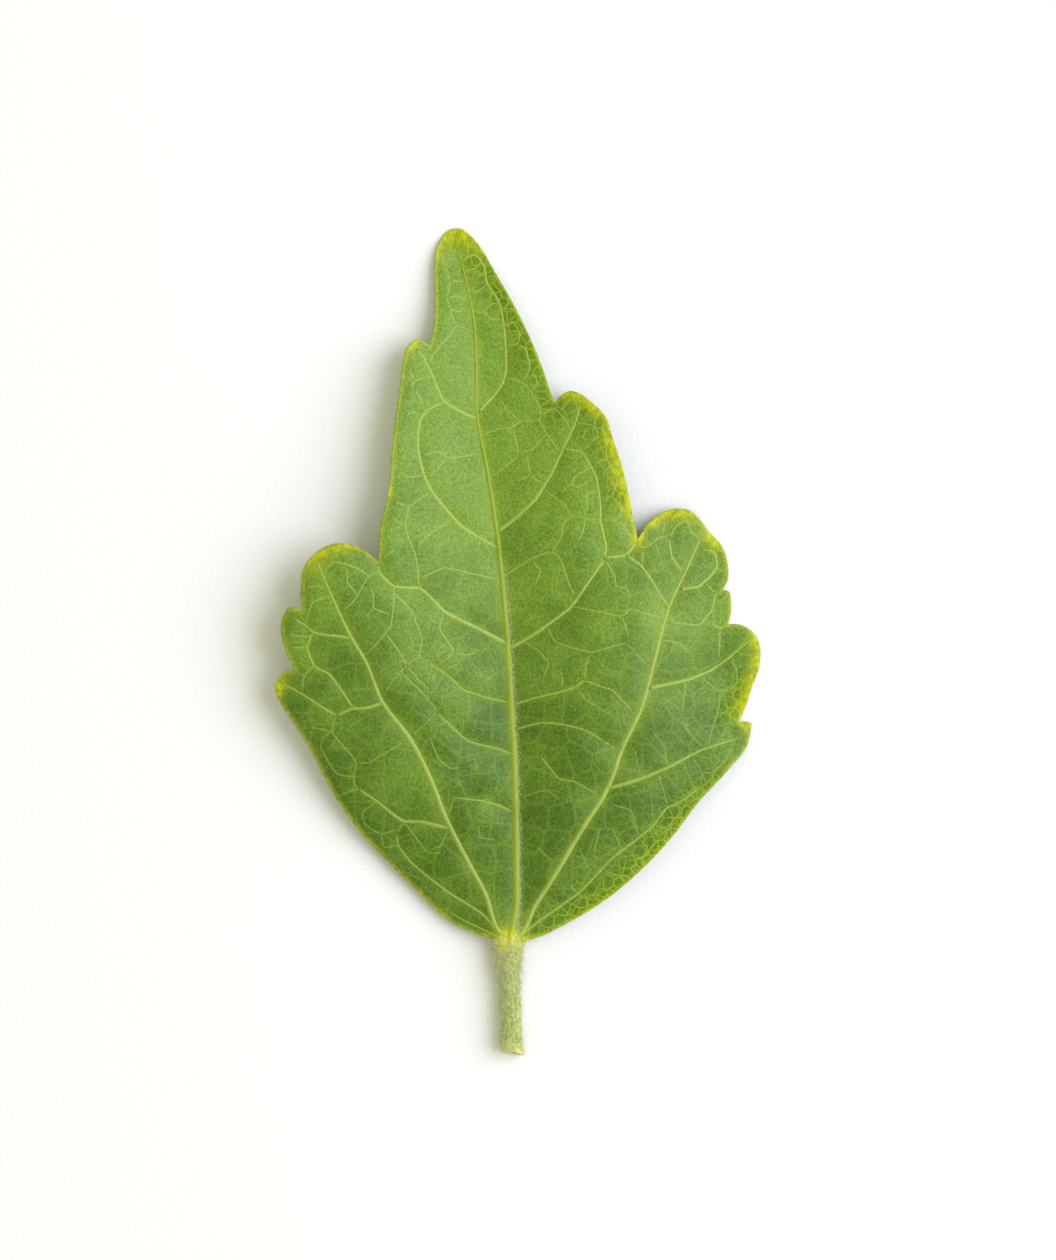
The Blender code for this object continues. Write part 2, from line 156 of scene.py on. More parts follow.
# The branches that leave the midrib and the side veins, as (width where it leaves,
# width at its end, route)
BRANCHES = [
    # From the stalk along the lower margin
    (0.21, 0.13, [(0.6, 0.1), (2.1, 1.3), (4.8, 3.2), (7.1, 5.6), (10.0, 7.9), (11.0, 9.2),
                  (11.8, 9.5), (13.3, 10.6)]),
    (0.21, 0.11, [(-0.7, 0.4), (-1.9, 1.7), (-4.4, 3.3), (-6.9, 5.3), (-7.8, 6.5), (-7.9, 7.4)]),
    (0.15, 0.08, [(-0.8, 0.1), (-1.8, 0.6), (-3.1, 1.2), (-4.3, 1.9)]),
    # Left of the midrib
    (0.28, 0.15, [(-0.2, 20.6), (-2.1, 21.6), (-4.5, 22.8), (-6.3, 24.5), (-7.0, 24.5),
                  (-8.1, 24.6), (-9.1, 25.6), (-9.1, 26.1)]),
    (0.24, 0.15, [(-0.9, 27.3), (-3.4, 28.8), (-5.5, 31.3), (-6.0, 32.4), (-6.4, 34.1),
                  (-6.4, 35.2), (-6.2, 36.3), (-5.7, 36.9), (-4.6, 37.5)]),
    (0.22, 0.13, [(-2.2, 36.3), (-3.2, 36.7), (-4.6, 37.5), (-5.4, 39.3), (-6.0, 40.6),
                  (-6.5, 41.1)]),
    (0.18, 0.10, [(-0.1, 16.5), (-1.5, 16.8), (-3.3, 17.4), (-4.2, 18.3), (-5.7, 19.3)]),
    (0.20, 0.11, [(0.1, 12.9), (-0.7, 13.2), (-2.9, 13.8), (-5.1, 15.8)]),
    (0.20, 0.09, [(0.2, 8.8), (-0.5, 9.2), (-1.8, 9.6), (-4.1, 9.9)]),
    # Left of the left side vein
    (0.27, 0.17, [(-4.3, 7.7), (-6.3, 8.2), (-7.4, 8.2), (-9.4, 9.7), (-10.6, 10.5)]),
    (0.25, 0.17, [(-8.8, 16.5), (-10.1, 16.1), (-10.9, 16.1), (-12.1, 15.6)]),
    (0.18, 0.11, [(-12.1, 15.6), (-12.8, 16.0), (-14.5, 17.1), (-15.9, 17.9)]),
    (0.21, 0.13, [(-11.0, 21.0), (-11.8, 21.1), (-13.7, 21.4), (-14.1, 21.8), (-15.1, 22.4)]),
    (0.17, 0.15, [(-10.9, 16.1), (-12.6, 18.5), (-13.6, 19.0), (-14.1, 20.3), (-13.9, 21.0),
                  (-13.7, 21.4)]),
    # Right of the midrib
    (0.27, 0.17, [(-0.1, 20.2), (1.9, 21.4), (3.7, 22.7), (4.3, 23.2), (5.0, 24.2), (6.6, 26.5)]),
    (0.20, 0.14, [(6.6, 26.5), (6.7, 27.4), (6.3, 29.1), (6.3, 30.3), (6.0, 32.2), (5.0, 34.0),
                  (3.7, 34.2)]),
    (0.28, 0.15, [(-0.9, 28.4), (0.3, 29.3), (1.8, 30.7), (2.9, 32.5), (3.7, 34.2), (4.6, 36.1),
                  (4.9, 37.3)]),
    (0.22, 0.14, [(-2.2, 36.8), (-1.0, 38.1), (-0.5, 38.9), (-0.3, 39.6), (-0.4, 42.6),
                  (-0.7, 44.3), (-1.0, 44.9), (-1.6, 45.7), (-1.8, 47.0), (-2.4, 47.8),
                  (-2.9, 47.7), (-3.4, 47.3)]),
    (0.20, 0.11, [(0.1, 16.3), (1.7, 16.8), (4.6, 17.6), (5.1, 18.0), (6.4, 17.6), (7.1, 17.4),
                  (8.5, 15.9)]),
    (0.18, 0.13, [(0.3, 14.6), (2.2, 15.1), (3.6, 15.0), (5.2, 14.6), (7.5, 13.2)]),
    (0.15, 0.10, [(2.1, 12.8), (2.7, 12.0), (3.4, 11.2), (4.5, 11.0), (5.9, 10.2)]),
    # Right of the right side vein
    (0.25, 0.13, [(9.7, 17.5), (12.5, 18.1), (14.0, 18.7), (15.3, 19.6), (16.7, 20.8)]),
    (0.28, 0.13, [(6.8, 10.5), (9.2, 11.2), (11.1, 12.0), (13.4, 13.2), (16.0, 14.0)]),
    (0.20, 0.18, [(6.6, 26.6), (8.1, 26.8), (8.5, 27.2), (8.8, 27.7)]),
    (0.17, 0.18, [(8.1, 26.8), (9.2, 26.0), (10.6, 23.9), (11.1, 23.2)]),
    (0.18, 0.15, [(12.1, 25.5), (11.3, 26.7), (11.1, 28.0)]),
    (0.20, 0.14, [(11.9, 24.4), (13.2, 24.6), (14.1, 25.4), (14.5, 26.0), (14.3, 27.0),
                  (13.4, 27.2)]),
]

# The meshes between the branches, as routes of even width
MESH_WIDTH = 0.24

# How sharply branches and meshes turn at their points, and the spacing of the lines
# that creases are measured from
BLUNTNESS = 0.65
MAIN_SPACING = 0.6
MESHES = [
    # Left lobe and its teeth
    [(-4.3, 7.8), (-4.8, 6.5), (-5.6, 6.2)],
    [(-11.6, 22.9), (-10.8, 23.6), (-9.8, 25.3), (-9.1, 25.6)],
    [(-9.8, 25.3), (-10.5, 25.8), (-12.2, 26.3), (-13.0, 25.5)],
    [(-10.6, 24.0), (-11.3, 24.9), (-11.3, 25.9)],
    [(-14.1, 20.3), (-15.3, 20.4)],
    [(-13.7, 19.0), (-14.3, 18.4), (-14.5, 17.1)],
    [(-14.3, 18.4), (-14.9, 18.6)],
    [(-12.8, 24.4), (-13.4, 24.6), (-14.1, 24.5)],
    [(-12.5, 23.9), (-13.7, 23.5), (-14.1, 22.5), (-14.1, 21.8)],
    [(-13.9, 21.1), (-15.4, 21.2)],
    [(-12.1, 15.6), (-12.4, 14.5), (-10.7, 12.3), (-10.9, 10.9), (-10.6, 10.5)],
    [(-7.5, 13.7), (-8.5, 13.1), (-9.9, 12.3), (-10.7, 12.3)],
    [(-10.8, 11.3), (-12.0, 11.5), (-13.2, 13.4), (-13.0, 14.1), (-12.4, 14.5)],
    [(-12.4, 14.5), (-13.9, 14.8)],
    [(-10.6, 10.5), (-11.9, 10.0)],
    [(-9.3, 9.6), (-10.3, 8.8), (-10.2, 8.1), (-9.0, 7.3), (-8.0, 7.6)],
    [(-7.9, 7.4), (-7.4, 8.1), (-6.3, 6.7), (-5.7, 6.0), (-4.9, 6.0)],
    [(-9.0, 7.3), (-8.8, 6.4), (-7.8, 6.5)],
    # Between the left side vein and the midrib
    [(-8.1, 24.6), (-8.1, 23.1), (-8.3, 21.8), (-10.1, 19.7)],
    [(-8.3, 22.6), (-9.5, 23.1), (-9.5, 24.1), (-9.8, 24.5)],
    [(-9.5, 23.1), (-10.0, 22.4)],
    [(-8.6, 21.3), (-7.2, 19.1), (-8.0, 18.2), (-8.7, 17.2)],
    [(-7.2, 19.1), (-6.3, 19.7), (-6.1, 20.9), (-5.6, 21.3)],
    [(-7.2, 19.1), (-6.4, 18.1), (-5.6, 17.4)],
    [(-7.6, 18.6), (-6.3, 17.4), (-5.1, 15.9), (-6.8, 14.2)],
    [(-5.6, 14.1), (-4.9, 12.5), (-4.1, 11.9), (-3.4, 12.0)],
    [(-3.9, 9.9), (-4.4, 8.3)],
    [(-2.2, 7.9), (-2.1, 7.1), (-1.1, 6.9)],
    [(-8.2, 24.2), (-6.9, 23.0), (-6.1, 20.9)],
    [(-4.6, 22.8), (-4.9, 21.7), (-3.9, 20.0), (-5.2, 19.0)],
    [(-3.9, 20.0), (-2.8, 19.8), (-2.1, 20.2)],
    [(-0.9, 25.1), (-2.7, 25.5), (-4.6, 25.9), (-6.3, 25.1)],
    [(-6.3, 24.5), (-6.5, 26.5), (-7.3, 28.8), (-7.0, 30.1), (-5.5, 31.2)],
    [(-4.0, 29.3), (-5.5, 28.3), (-6.5, 27.4)],
    [(-7.3, 28.8), (-8.3, 29.4)],
    [(-6.9, 30.1), (-8.1, 30.5)],
    [(-5.9, 32.4), (-7.3, 32.2), (-7.7, 32.7)],
    [(-2.1, 33.9), (-4.4, 33.6), (-4.8, 34.0), (-6.1, 33.7)],
    [(-4.4, 33.6), (-5.0, 32.8), (-5.7, 32.1)],
    [(-6.2, 36.3), (-6.7, 36.8), (-7.3, 36.4)],
    [(-8.9, 26.5), (-7.9, 27.2)],
    # Left of the tip
    [(-5.6, 40.0), (-5.4, 40.7), (-4.0, 42.4), (-3.8, 42.8), (-2.5, 42.4)],
    [(-3.8, 42.8), (-4.4, 44.7), (-4.2, 46.0), (-4.7, 47.6), (-4.6, 48.1)],
    [(-5.4, 39.3), (-6.6, 38.9), (-7.0, 38.5)],
    [(-6.6, 38.9), (-7.1, 39.8)],
    [(-6.6, 38.4), (-6.0, 37.1)],
    [(-4.2, 46.0), (-3.2, 45.9)],
    [(-4.4, 44.8), (-3.7, 44.9), (-2.8, 44.6)],
    [(-4.3, 44.0), (-3.4, 43.8), (-3.1, 44.2)],
    [(-3.4, 47.3), (-4.1, 47.3)],
    # Right of the tip
    [(-1.6, 45.7), (-2.2, 45.3), (-2.8, 45.0)],
    [(-3.4, 46.6), (-2.3, 46.9), (-2.0, 47.3)],
    [(-2.4, 47.8), (-2.5, 48.7)],
    [(-2.9, 47.7), (-3.0, 49.0)],
    [(-1.6, 46.3), (-0.9, 46.3)],
    [(-1.6, 45.6), (-0.9, 44.9)],
    [(-0.7, 43.3), (-1.3, 43.3), (-1.8, 43.8), (-1.5, 44.2), (-0.8, 44.5)],
    [(-1.8, 43.8), (-2.5, 43.7)],
    [(-0.7, 44.0), (0.2, 44.0)],
    [(-0.3, 41.4), (0.5, 41.5), (0.7, 42.2), (0.2, 43.1), (-0.4, 42.7)],
    [(0.5, 41.5), (1.0, 41.3), (1.4, 40.0), (1.3, 39.5), (0.8, 38.9)],
    [(1.3, 39.5), (1.8, 39.2), (2.0, 38.5)],
    [(-0.3, 39.2), (0.8, 38.9), (1.5, 38.2)],
    # Between the midrib and the upper right tooth
    [(3.4, 34.0), (2.1, 36.1), (2.1, 37.0), (1.5, 38.2), (2.0, 39.0)],
    [(2.1, 36.5), (3.0, 37.1), (3.9, 36.2), (4.2, 35.5)],
    [(3.5, 36.8), (4.1, 37.7)],
    [(-2.1, 35.1), (-0.8, 35.6), (0.1, 35.7), (0.7, 36.1), (2.1, 36.2)],
    [(0.2, 35.6), (0.5, 34.3), (0.6, 33.9), (-0.8, 32.6), (-1.7, 32.1)],
    [(0.7, 36.1), (-0.3, 37.1), (-0.9, 38.0)],
    [(-0.3, 37.1), (-0.8, 36.5)],
    [(1.1, 33.8), (1.4, 32.4), (0.4, 31.9)],
    [(0.6, 33.9), (1.6, 34.2), (2.5, 35.2)],
    [(1.4, 32.4), (2.4, 31.6)],
    [(2.3, 31.4), (3.8, 30.3), (4.3, 29.6), (5.3, 29.3), (6.3, 29.3)],
    [(4.3, 29.5), (3.7, 28.9), (3.6, 28.1), (2.9, 27.0)],
    [(-0.7, 25.1), (1.4, 26.5), (2.9, 27.0), (3.4, 26.7), (4.1, 24.8), (4.6, 23.8)],
    [(1.5, 26.3), (2.1, 25.8), (1.7, 24.5)],
    [(5.3, 29.3), (5.0, 28.2), (4.7, 27.7)],
    [(5.8, 33.0), (4.5, 32.2), (4.3, 31.8), (4.6, 31.5), (5.7, 32.0)],
    [(6.1, 31.2), (5.4, 31.1), (5.4, 29.8)],
    [(4.3, 31.8), (3.5, 31.1)],
    # The upper right tooth
    [(4.6, 36.0), (5.8, 35.8), (6.1, 35.4), (6.1, 35.1), (5.0, 34.0)],
    [(5.4, 35.8), (5.0, 34.8)],
    [(5.8, 35.8), (6.2, 36.8)],
    [(5.8, 33.1), (6.7, 33.5), (7.2, 32.7), (7.5, 32.1), (7.1, 30.9), (6.4, 30.5)],
    [(7.1, 30.9), (7.8, 30.0), (7.6, 29.3), (6.3, 29.2)],
    [(7.6, 29.3), (8.7, 27.7)],
    [(6.7, 33.5), (6.7, 34.4), (6.4, 36.1)],
    # The right lobe
    [(4.3, 23.2), (6.4, 22.8), (7.8, 22.5), (8.4, 23.0), (9.2, 22.8), (10.9, 22.3)],
    [(7.8, 22.5), (8.3, 21.1)],
    [(6.6, 26.5), (7.3, 25.3), (7.4, 24.6), (8.1, 24.5), (8.4, 23.7)],
    [(8.8, 27.6), (9.3, 27.3), (10.7, 28.1), (11.1, 28.0)],
    [(9.3, 27.2), (9.2, 26.0)],
    [(10.1, 27.7), (10.5, 26.7)],
    [(11.1, 28.0), (11.7, 28.9), (12.3, 29.2), (12.7, 28.4), (13.3, 27.9)],
    [(10.7, 28.1), (10.8, 29.4)],
    [(13.6, 24.8), (14.4, 24.2), (14.8, 24.2)],
    [(14.4, 24.2), (14.1, 22.9), (13.2, 21.9), (12.1, 22.0), (11.1, 22.1)],
    [(14.0, 22.3), (14.7, 21.6), (15.1, 21.9)],
    [(14.7, 21.6), (14.6, 19.5)],
    [(14.5, 26.6), (15.1, 26.3)],
    [(10.5, 20.9), (11.9, 20.6), (12.5, 20.0)],
    # The lower right teeth
    [(13.4, 18.3), (14.4, 17.4), (15.3, 17.3), (16.0, 16.5), (15.3, 15.6), (15.6, 14.8)],
    [(15.3, 17.3), (15.9, 17.9), (15.8, 18.9), (15.4, 19.5)],
    [(16.0, 18.3), (16.7, 17.6)],
    [(15.9, 19.9), (16.8, 19.8)],
    [(14.7, 17.2), (14.6, 16.1), (14.2, 14.9), (13.8, 13.4)],
    [(14.6, 15.9), (15.3, 15.6)],
    [(12.7, 12.7), (13.4, 11.6), (13.3, 10.6)],
    [(13.4, 11.6), (14.1, 11.6), (15.1, 12.5), (15.5, 13.7)],
    [(14.2, 11.6), (14.1, 10.8)],
    [(10.3, 11.5), (10.6, 10.8), (11.0, 9.3)],
    [(10.9, 12.0), (10.8, 13.4), (9.9, 14.5)],
    [(13.5, 13.3), (12.5, 14.4), (11.9, 15.3)],
    [(12.3, 18.1), (12.0, 15.8)],
    [(9.1, 11.3), (8.7, 13.3)],
    # The lower right wedge
    [(6.5, 4.8), (7.6, 4.4), (8.3, 4.4), (8.9, 5.4), (8.1, 5.6)],
    [(8.9, 5.4), (9.7, 6.2), (9.0, 7.0)],
    [(9.7, 6.2), (10.4, 7.0), (9.9, 7.8)],
    [(10.4, 7.0), (10.9, 7.7), (10.1, 7.9)],
    [(5.3, 3.4), (5.6, 3.0), (7.0, 3.6)],
    [(5.6, 3.0), (5.2, 2.2)],
    [(4.2, 2.6), (4.3, 1.6)],
    [(11.8, 9.5), (11.8, 8.8), (10.9, 7.7)],
    [(7.1, 9.4), (8.4, 9.0), (9.0, 7.1)],
    [(7.1, 7.8), (7.8, 6.3)],
    [(6.3, 7.8), (5.9, 5.8), (6.4, 5.4)],
    [(4.8, 6.4), (5.5, 4.9)],
    [(4.1, 3.8), (4.7, 3.3)],
    # Between the midrib and the right side vein
    [(0.8, 9.9), (2.6, 10.4), (3.4, 9.8)],
    [(1.8, 6.5), (2.9, 5.5)],
    [(5.2, 18.0), (5.3, 19.1), (5.6, 19.9)],
    [(2.6, 21.8), (3.1, 20.8), (5.6, 20.0), (8.1, 20.6), (9.5, 19.2)],
    [(4.5, 17.6), (5.3, 16.7), (7.3, 15.5)],
    [(3.6, 17.4), (3.6, 18.6), (3.2, 18.8)],
    [(2.3, 18.3), (2.7, 19.2), (2.0, 20.1), (0.7, 20.9)],
]

# Widths of the main veins, as (distance from the stalk, width)
MIDRIB_WIDTHS = [(0.0, 0.66), (12.0, 0.68), (17.0, 0.62), (21.0, 0.58), (26.5, 0.46),
                 (31.0, 0.38), (38.0, 0.34), (45.0, 0.27), (50.0, 0.14)]
LATERAL_WIDTHS = [(0.0, 0.46), (13.0, 0.44), (20.0, 0.36), (25.0, 0.29), (31.0, 0.18)]
MIDRIB_RIB_WIDTHS = [(0.0, 1.25), (4.0, 0.90), (9.0, 0.80), (24.0, 0.58), (50.0, 0.22)]
LATERAL_RIB_WIDTHS = [(0.0, 0.62), (6.0, 0.54), (18.0, 0.36), (31.0, 0.18)]

# The stalk from its cut end to the blade, as (x, y, centre height, half-width,
# half-height)
STALK = [
    (0.22, -8.0, 0.80, 0.85, 0.80), (0.12, -7.3, 0.76, 0.76, 0.75), (0.05, -5.5, 0.72, 0.71, 0.71),
    (0.0, -3.4, 0.72, 0.70, 0.70), (-0.05, -2.2, 0.75, 0.74, 0.72), (-0.1, -1.4, 0.78, 0.88, 0.75),
    (-0.12, -0.7, 0.81, 1.00, 0.80), (-0.12, 0.1, 0.88, 1.10, 0.86),
    (0.05, 0.9, 0.90, 0.80, 0.62), (0.4, 2.4, 1.00, 0.34, 0.26),
]
CUT_SLANT = 0.28
FLOOR_GAP = 0.004
ACROSS = 9

# Places where the margin has turned yellow, as (x, y, reach)
YELLOW_SPOTS = [
    (-3.7, 49.6, 2.0), (7.9, 32.6, 1.6), (7.2, 34.8, 0.9), (6.2, 37.0, 0.8), (4.6, 38.1, 0.7),
    (11.6, 30.0, 1.4), (10.0, 29.3, 0.7), (14.3, 27.9, 0.8), (-13.5, 26.9, 1.3), (-11.9, 27.5, 0.9),
    (17.2, 18.0, 1.1), (16.6, 16.3, 1.0), (16.8, 15.0, 0.6), (-16.2, 17.6, 0.7),
    (-7.0, 41.5, 0.6), (8.9, 27.8, 0.6), (17.3, 20.6, 0.7), (0.2, -0.1, 1.0),
    (-8.4, 31.2, 0.25), (7.5, 33.8, 0.9), (8.4, 30.0, 0.8), (5.4, 37.6, 0.7),
    (17.4, 19.3, 0.8),
]

# Where the blade is painted paler (above 0) or deeper (below 0) than around, as (x, y, reach,
# change), and the distances between which it grows paler towards the tip
TONES_AND_SHADE = [
    (2.0, 3.0, 2.2, -0.25), (2.2, 9.0, 2.6, -0.35), (2.3, 14.5, 2.8, -0.40),
    (13.0, 14.0, 3.5, -0.10), (-11.3, 21.0, 2.6, -0.25), (4.5, 5.5, 2.4, -0.25),
    (-14.0, 23.8, 2.2, 0.30), (-0.8, 35.7, 3.0, 0.30), (-7.8, 11.2, 2.6, 0.20),
    (12.5, 22.4, 2.6, 0.25), (-5.0, 21.0, 3.0, 0.15), (-0.5, 42.7, 2.5, 0.25),
    # The spots from (-6.6, 4.5) to (-15.0, 21.5) are painted shade where the left margin curls down away
    # from the light.
    (-6.6, 4.5, 1.3, -0.45), (-10.0, 8.1, 1.3, -0.45), (-13.0, 12.6, 1.3, -0.45),
    (-15.2, 16.0, 1.1, -0.35), (-15.0, 21.5, 1.0, -0.35), (11.5, 26.6, 2.4, -0.30),
    (-3.0, 6.0, 2.2, -0.25), (-2.0, 15.5, 2.0, -0.25), (-1.5, 31.0, 3.0, 0.30),
    (0.3, 43.5, 2.2, 0.35), (4.0, 20.0, 3.0, 0.15), (-14.0, 20.0, 2.0, 0.20),
]
TONE_RANGE = (8.0, 38.0)

# How strongly the right margin is meshed with bright fine veins, as (height y, share)
MESHED_EDGE = [
    (0.0, 0.55), (3.0, 0.90), (8.0, 0.85), (11.0, 0.55), (13.5, 0.20), (15.0, 0.45),
    (15.8, 0.95), (17.5, 0.95), (19.0, 0.35), (21.5, 0.20), (23.0, 0.45), (26.0, 0.55),
    (28.0, 0.30), (29.5, 0.45), (31.0, 0.95), (36.0, 0.90), (38.5, 0.70), (41.0, 0.90),
    (47.0, 1.00), (50.0, 0.80),
]
MESHED_REACH = 1.7

SEED = 11
TINY = 1e-9


def length_property(name, description, default, smallest, largest):
    """A length that a user can change, given in millimetres and kept in metres."""
    return bpy.props.FloatProperty(
        name=name, description=description, default=default * MM, min=smallest * MM,
        max=largest * MM, unit="LENGTH", precision=5)


class LeafSizes(bpy.types.PropertyGroup):
    """Sizes of the blade, its veins and its hairs."""

    blade_thickness: length_property(
        "Blade thickness", "Thickness of the blade between its veins", 0.28, 0.1, 0.6)
    edge_thickness: length_property(
        "Edge thickness", "Thickness of the blade at its margin", 0.17, 0.05, 0.6)
    edge_bulge: length_property(
        "Edge bulge", "How far the rounded margin stands out", 0.05, 0.0, 0.2)
    vein_relief: length_property(
        "Vein relief", "Height of the midrib above the blade", 0.17, 0.0, 0.4)
    under_relief: length_property(
        "Relief below", "Depth of the midrib's rib below the blade", 0.80, 0.0, 1.2)
    pucker: length_property(
        "Puckering", "Height of the gentle swellings between the veins", 0.04, 0.0, 0.3)
    margin_curl: length_property(
        "Margin curl", "How far the margin bends down", 0.16, 0.0, 1.0)
    mesh_size: length_property(
        "Mesh size", "Width of the finest vein meshes", 0.68, 0.2, 2.0)
    stalk_hair: length_property(
        "Stalk hair length", "Length of the hairs on the stalk", 0.42, 0.05, 1.5)
    vein_hair: length_property(
        "Vein hair length", "Length of the hairs along the veins", 0.22, 0.05, 1.5)


def colour_property(name, description, default):
    """A colour that a user can change."""
    return bpy.props.FloatVectorProperty(
        name=name, description=description, default=default, size=3, min=0.0, max=1.0,
        subtype="COLOR")


class LeafColours(bpy.types.PropertyGroup):
    """Colours of the leaf's tissues."""

    green: colour_property("Green", "Deep tissue near the stalk", (0.072, 0.155, 0.007))
    light_green: colour_property("Light green", "Paler blade near the tip", (0.182, 0.318, 0.028))
    deep_green: colour_property(
        "Deep green", "Blade among the bright meshes", (0.095, 0.205, 0.001))
    vein: colour_property("Vein", "Midrib", (0.28, 0.38, 0.010))
    pale_vein: colour_property("Pale vein", "Side veins and branches", (0.40, 0.52, 0.11))
    mesh: colour_property("Mesh veins", "Finest veins", (0.265, 0.410, 0.040))
    # This yellow also paints the glow of light through the margin's thin rim.
    yellow: colour_property("Yellow", "Yellowed margin and joint", (0.54, 0.56, 0.008))
    underside: colour_property("Underside", "Lower face of the blade", (0.22, 0.32, 0.12))
    stalk: colour_property("Stalk", "Skin of the stalk", (0.50, 0.57, 0.085))
    stalk_shade: colour_property("Stalk shade", "Darker streaks on the stalk", (0.23, 0.34, 0.02))
    pith: colour_property("Pith", "Cut end of the stalk", (0.66, 0.64, 0.22))
    hair: colour_property("Hair", "Hairs on the stalk and veins", (0.90, 0.89, 0.64))


class StageSettings(bpy.types.PropertyGroup):
    """The surface, the lights and the camera."""

    floor_colour: colour_property("Floor", "Pale surface under the leaf", (0.93, 0.93, 0.922))
    window: bpy.props.FloatProperty(
        name="Window light", description="Strength of the large soft light",
        default=3.1, min=0.0, max=50.0)
    window_height: bpy.props.FloatProperty(
        name="Window height", description="Angle of the light above the floor",
        default=math.radians(44), min=0.0, max=math.pi / 2, subtype="ANGLE")
    room: bpy.props.FloatProperty(
        name="Room light", description="Strength of the even light from all around",
        default=0.66, min=0.0, max=5.0)
    camera_height: bpy.props.FloatProperty(
        name="Camera height", description="Distance from the floor to the camera",
        default=0.6, min=0.1, max=5.0, unit="LENGTH")
    lens: bpy.props.FloatProperty(
        name="Lens", description="Focal length of the camera in millimetres",
        default=245.0, min=20.0, max=800.0)


# ---------------------------------------------------------------- plan and heights


def smooth_curve(knots, values, at):
    """Read a smooth curve through values at the given knots (cubic Hermite pieces)."""
    knots = np.asarray(knots, float)
    values = np.asarray(values, float)
    slopes = np.gradient(values, knots, axis=0)
    piece = np.clip(np.searchsorted(knots, at, side="right") - 1, 0, len(knots) - 2)
    span = (knots[piece + 1] - knots[piece])[:, None]
    f = ((at - knots[piece])[:, None]) / span
    return (values[piece] * (2 * f**3 - 3 * f**2 + 1)
            + slopes[piece] * span * (f**3 - 2 * f**2 + f)
            + values[piece + 1] * (3 * f**2 - 2 * f**3)
            + slopes[piece + 1] * span * (f**3 - f**2))


def path_length(points):
    """Length of the straight runs between points."""
    return np.linalg.norm(np.diff(np.asarray(points, float), axis=0), axis=1).sum()


def path_knots(points):
    """The share of a path's length at which each of its points lies."""
    steps = np.linalg.norm(np.diff(np.asarray(points, float), axis=0), axis=1)
    return np.concatenate([[0.0], np.cumsum(steps)]) / steps.sum()


def along(points, fractions):
    """Points at fractions 0 to 1 of the length of a smooth path through points."""
    return smooth_curve(path_knots(points), points, np.asarray(fractions, float))


def stations(points, spacing, bluntness=0.0):
    """A path through points, read about every spacing millimetres.

    It is smooth for bluntness 0 and turns sharply at its points for bluntness 1.
    """
    fewest = 3
    fractions = np.linspace(0.0, 1.0, max(fewest, round(path_length(points) / spacing) + 1))
    knots = path_knots(points)
    straight = np.column_stack([np.interp(fractions, knots, side) for side in zip(*points)])
    return along(points, fractions) * (1.0 - bluntness) + straight * bluntness


def midrib_at(heights):
    """The midrib's points at the given distances y."""
    x = smooth_curve([p[1] for p in MIDRIB], [[p[0]] for p in MIDRIB], heights)
    return np.column_stack([x[:, 0], heights])


def margin_at(margin, heights):
    """The margin's points that are spanned from the midrib's points at heights."""
    points = np.zeros((len(heights), 2))
    start = 0.0
    for end, stretch in margin:
        inside = (heights >= start) & (heights <= end)
        points[inside] = along(stretch, (heights[inside] - start) / (end - start))
        start = end
    return points


@functools.cache
def row_heights():
    """Distances along the midrib of the rows of the blade, with one on every notch."""
    ends = sorted({0.0} | {end for end, _ in RIGHT_MARGIN + LEFT_MARGIN})
    rows = [np.array([0.0])]
    inset = 1e-6
    probes = 60
    for start, end in zip(ends[:-1], ends[1:]):
        probe = np.linspace(start + inset, end - inset, probes)
        longest = max(path_length(margin_at(side, probe)) for side in (LEFT_MARGIN, RIGHT_MARGIN))
        count = max(2, round(longest / ROW_SPACING))
        rows.append(np.linspace(start, end, count + 1)[1:])
    return np.concatenate(rows)


def distance_to(line, points, reach):
    """Distance of each point from a line of short straight runs, no more than reach.

    A point's foot on a run is its offset times the run over the run squared, kept
    between the run's ends.
    """
    distance = np.full(len(points), float(reach))
    near = ((points > line.min(axis=0) - reach) & (points < line.max(axis=0) + reach)).all(axis=1)
    spots = points[near]
    run = np.diff(line, axis=0)
    offset = spots[:, None, :] - line[:-1]
    f = np.clip((offset * run).sum(-1) / np.maximum((run * run).sum(-1), TINY), 0.0, 1.0)
    gap = np.linalg.norm(offset - f[..., None] * run, axis=-1).min(axis=1)
    distance[near] = np.minimum(gap, reach)
    return distance


def nearest(lines, points, reach):
    """Distance of each point from the nearest of several lines, no more than reach."""
    distance = np.full(len(points), float(reach))
    for line in lines:
        distance = np.minimum(distance, distance_to(line, points, reach))
    return distance


@functools.cache
def vein_lines():
    """Fine lines along the branches and along the meshes."""
    spacing = 0.4
    branches = [stations(route, spacing, BLUNTNESS) for _, _, route in BRANCHES]
    meshes = [stations(route, spacing, BLUNTNESS) for route in MESHES]
    return branches, meshes


@functools.cache
def main_lines():
    """Fine lines along the midrib and the left and right side veins."""
    return [stations(route, MAIN_SPACING) for route in (MIDRIB, LEFT_LATERAL, RIGHT_LATERAL)]


@functools.cache
def margin_lines():
    """The left and right margins as lines of short runs."""
    heights = row_heights()[::2]
    return margin_at(LEFT_MARGIN, heights), margin_at(RIGHT_MARGIN, heights)


def thin_plate(distance):
    """The bending shape of a thin sheet pushed at one point: d squared times log d."""
    safe = np.maximum(distance, TINY)
    return safe**2 * np.log(safe)


@functools.cache
def plate_weights():
    """Strengths of the pushes that bend a thin sheet through HEIGHTS."""
    known = np.asarray(HEIGHTS)
    count = len(known)
    gaps = np.linalg.norm(known[:, None, :2] - known[None, :, :2], axis=-1)
    plane = np.column_stack([np.ones(count), known[:, :2]])
    system = np.zeros((count + 3, count + 3))
    system[:count, :count] = thin_plate(gaps)
    system[:count, count:] = plane
    system[count:, :count] = plane.T
    return np.linalg.solve(system, np.concatenate([known[:, 2], np.zeros(3)]))


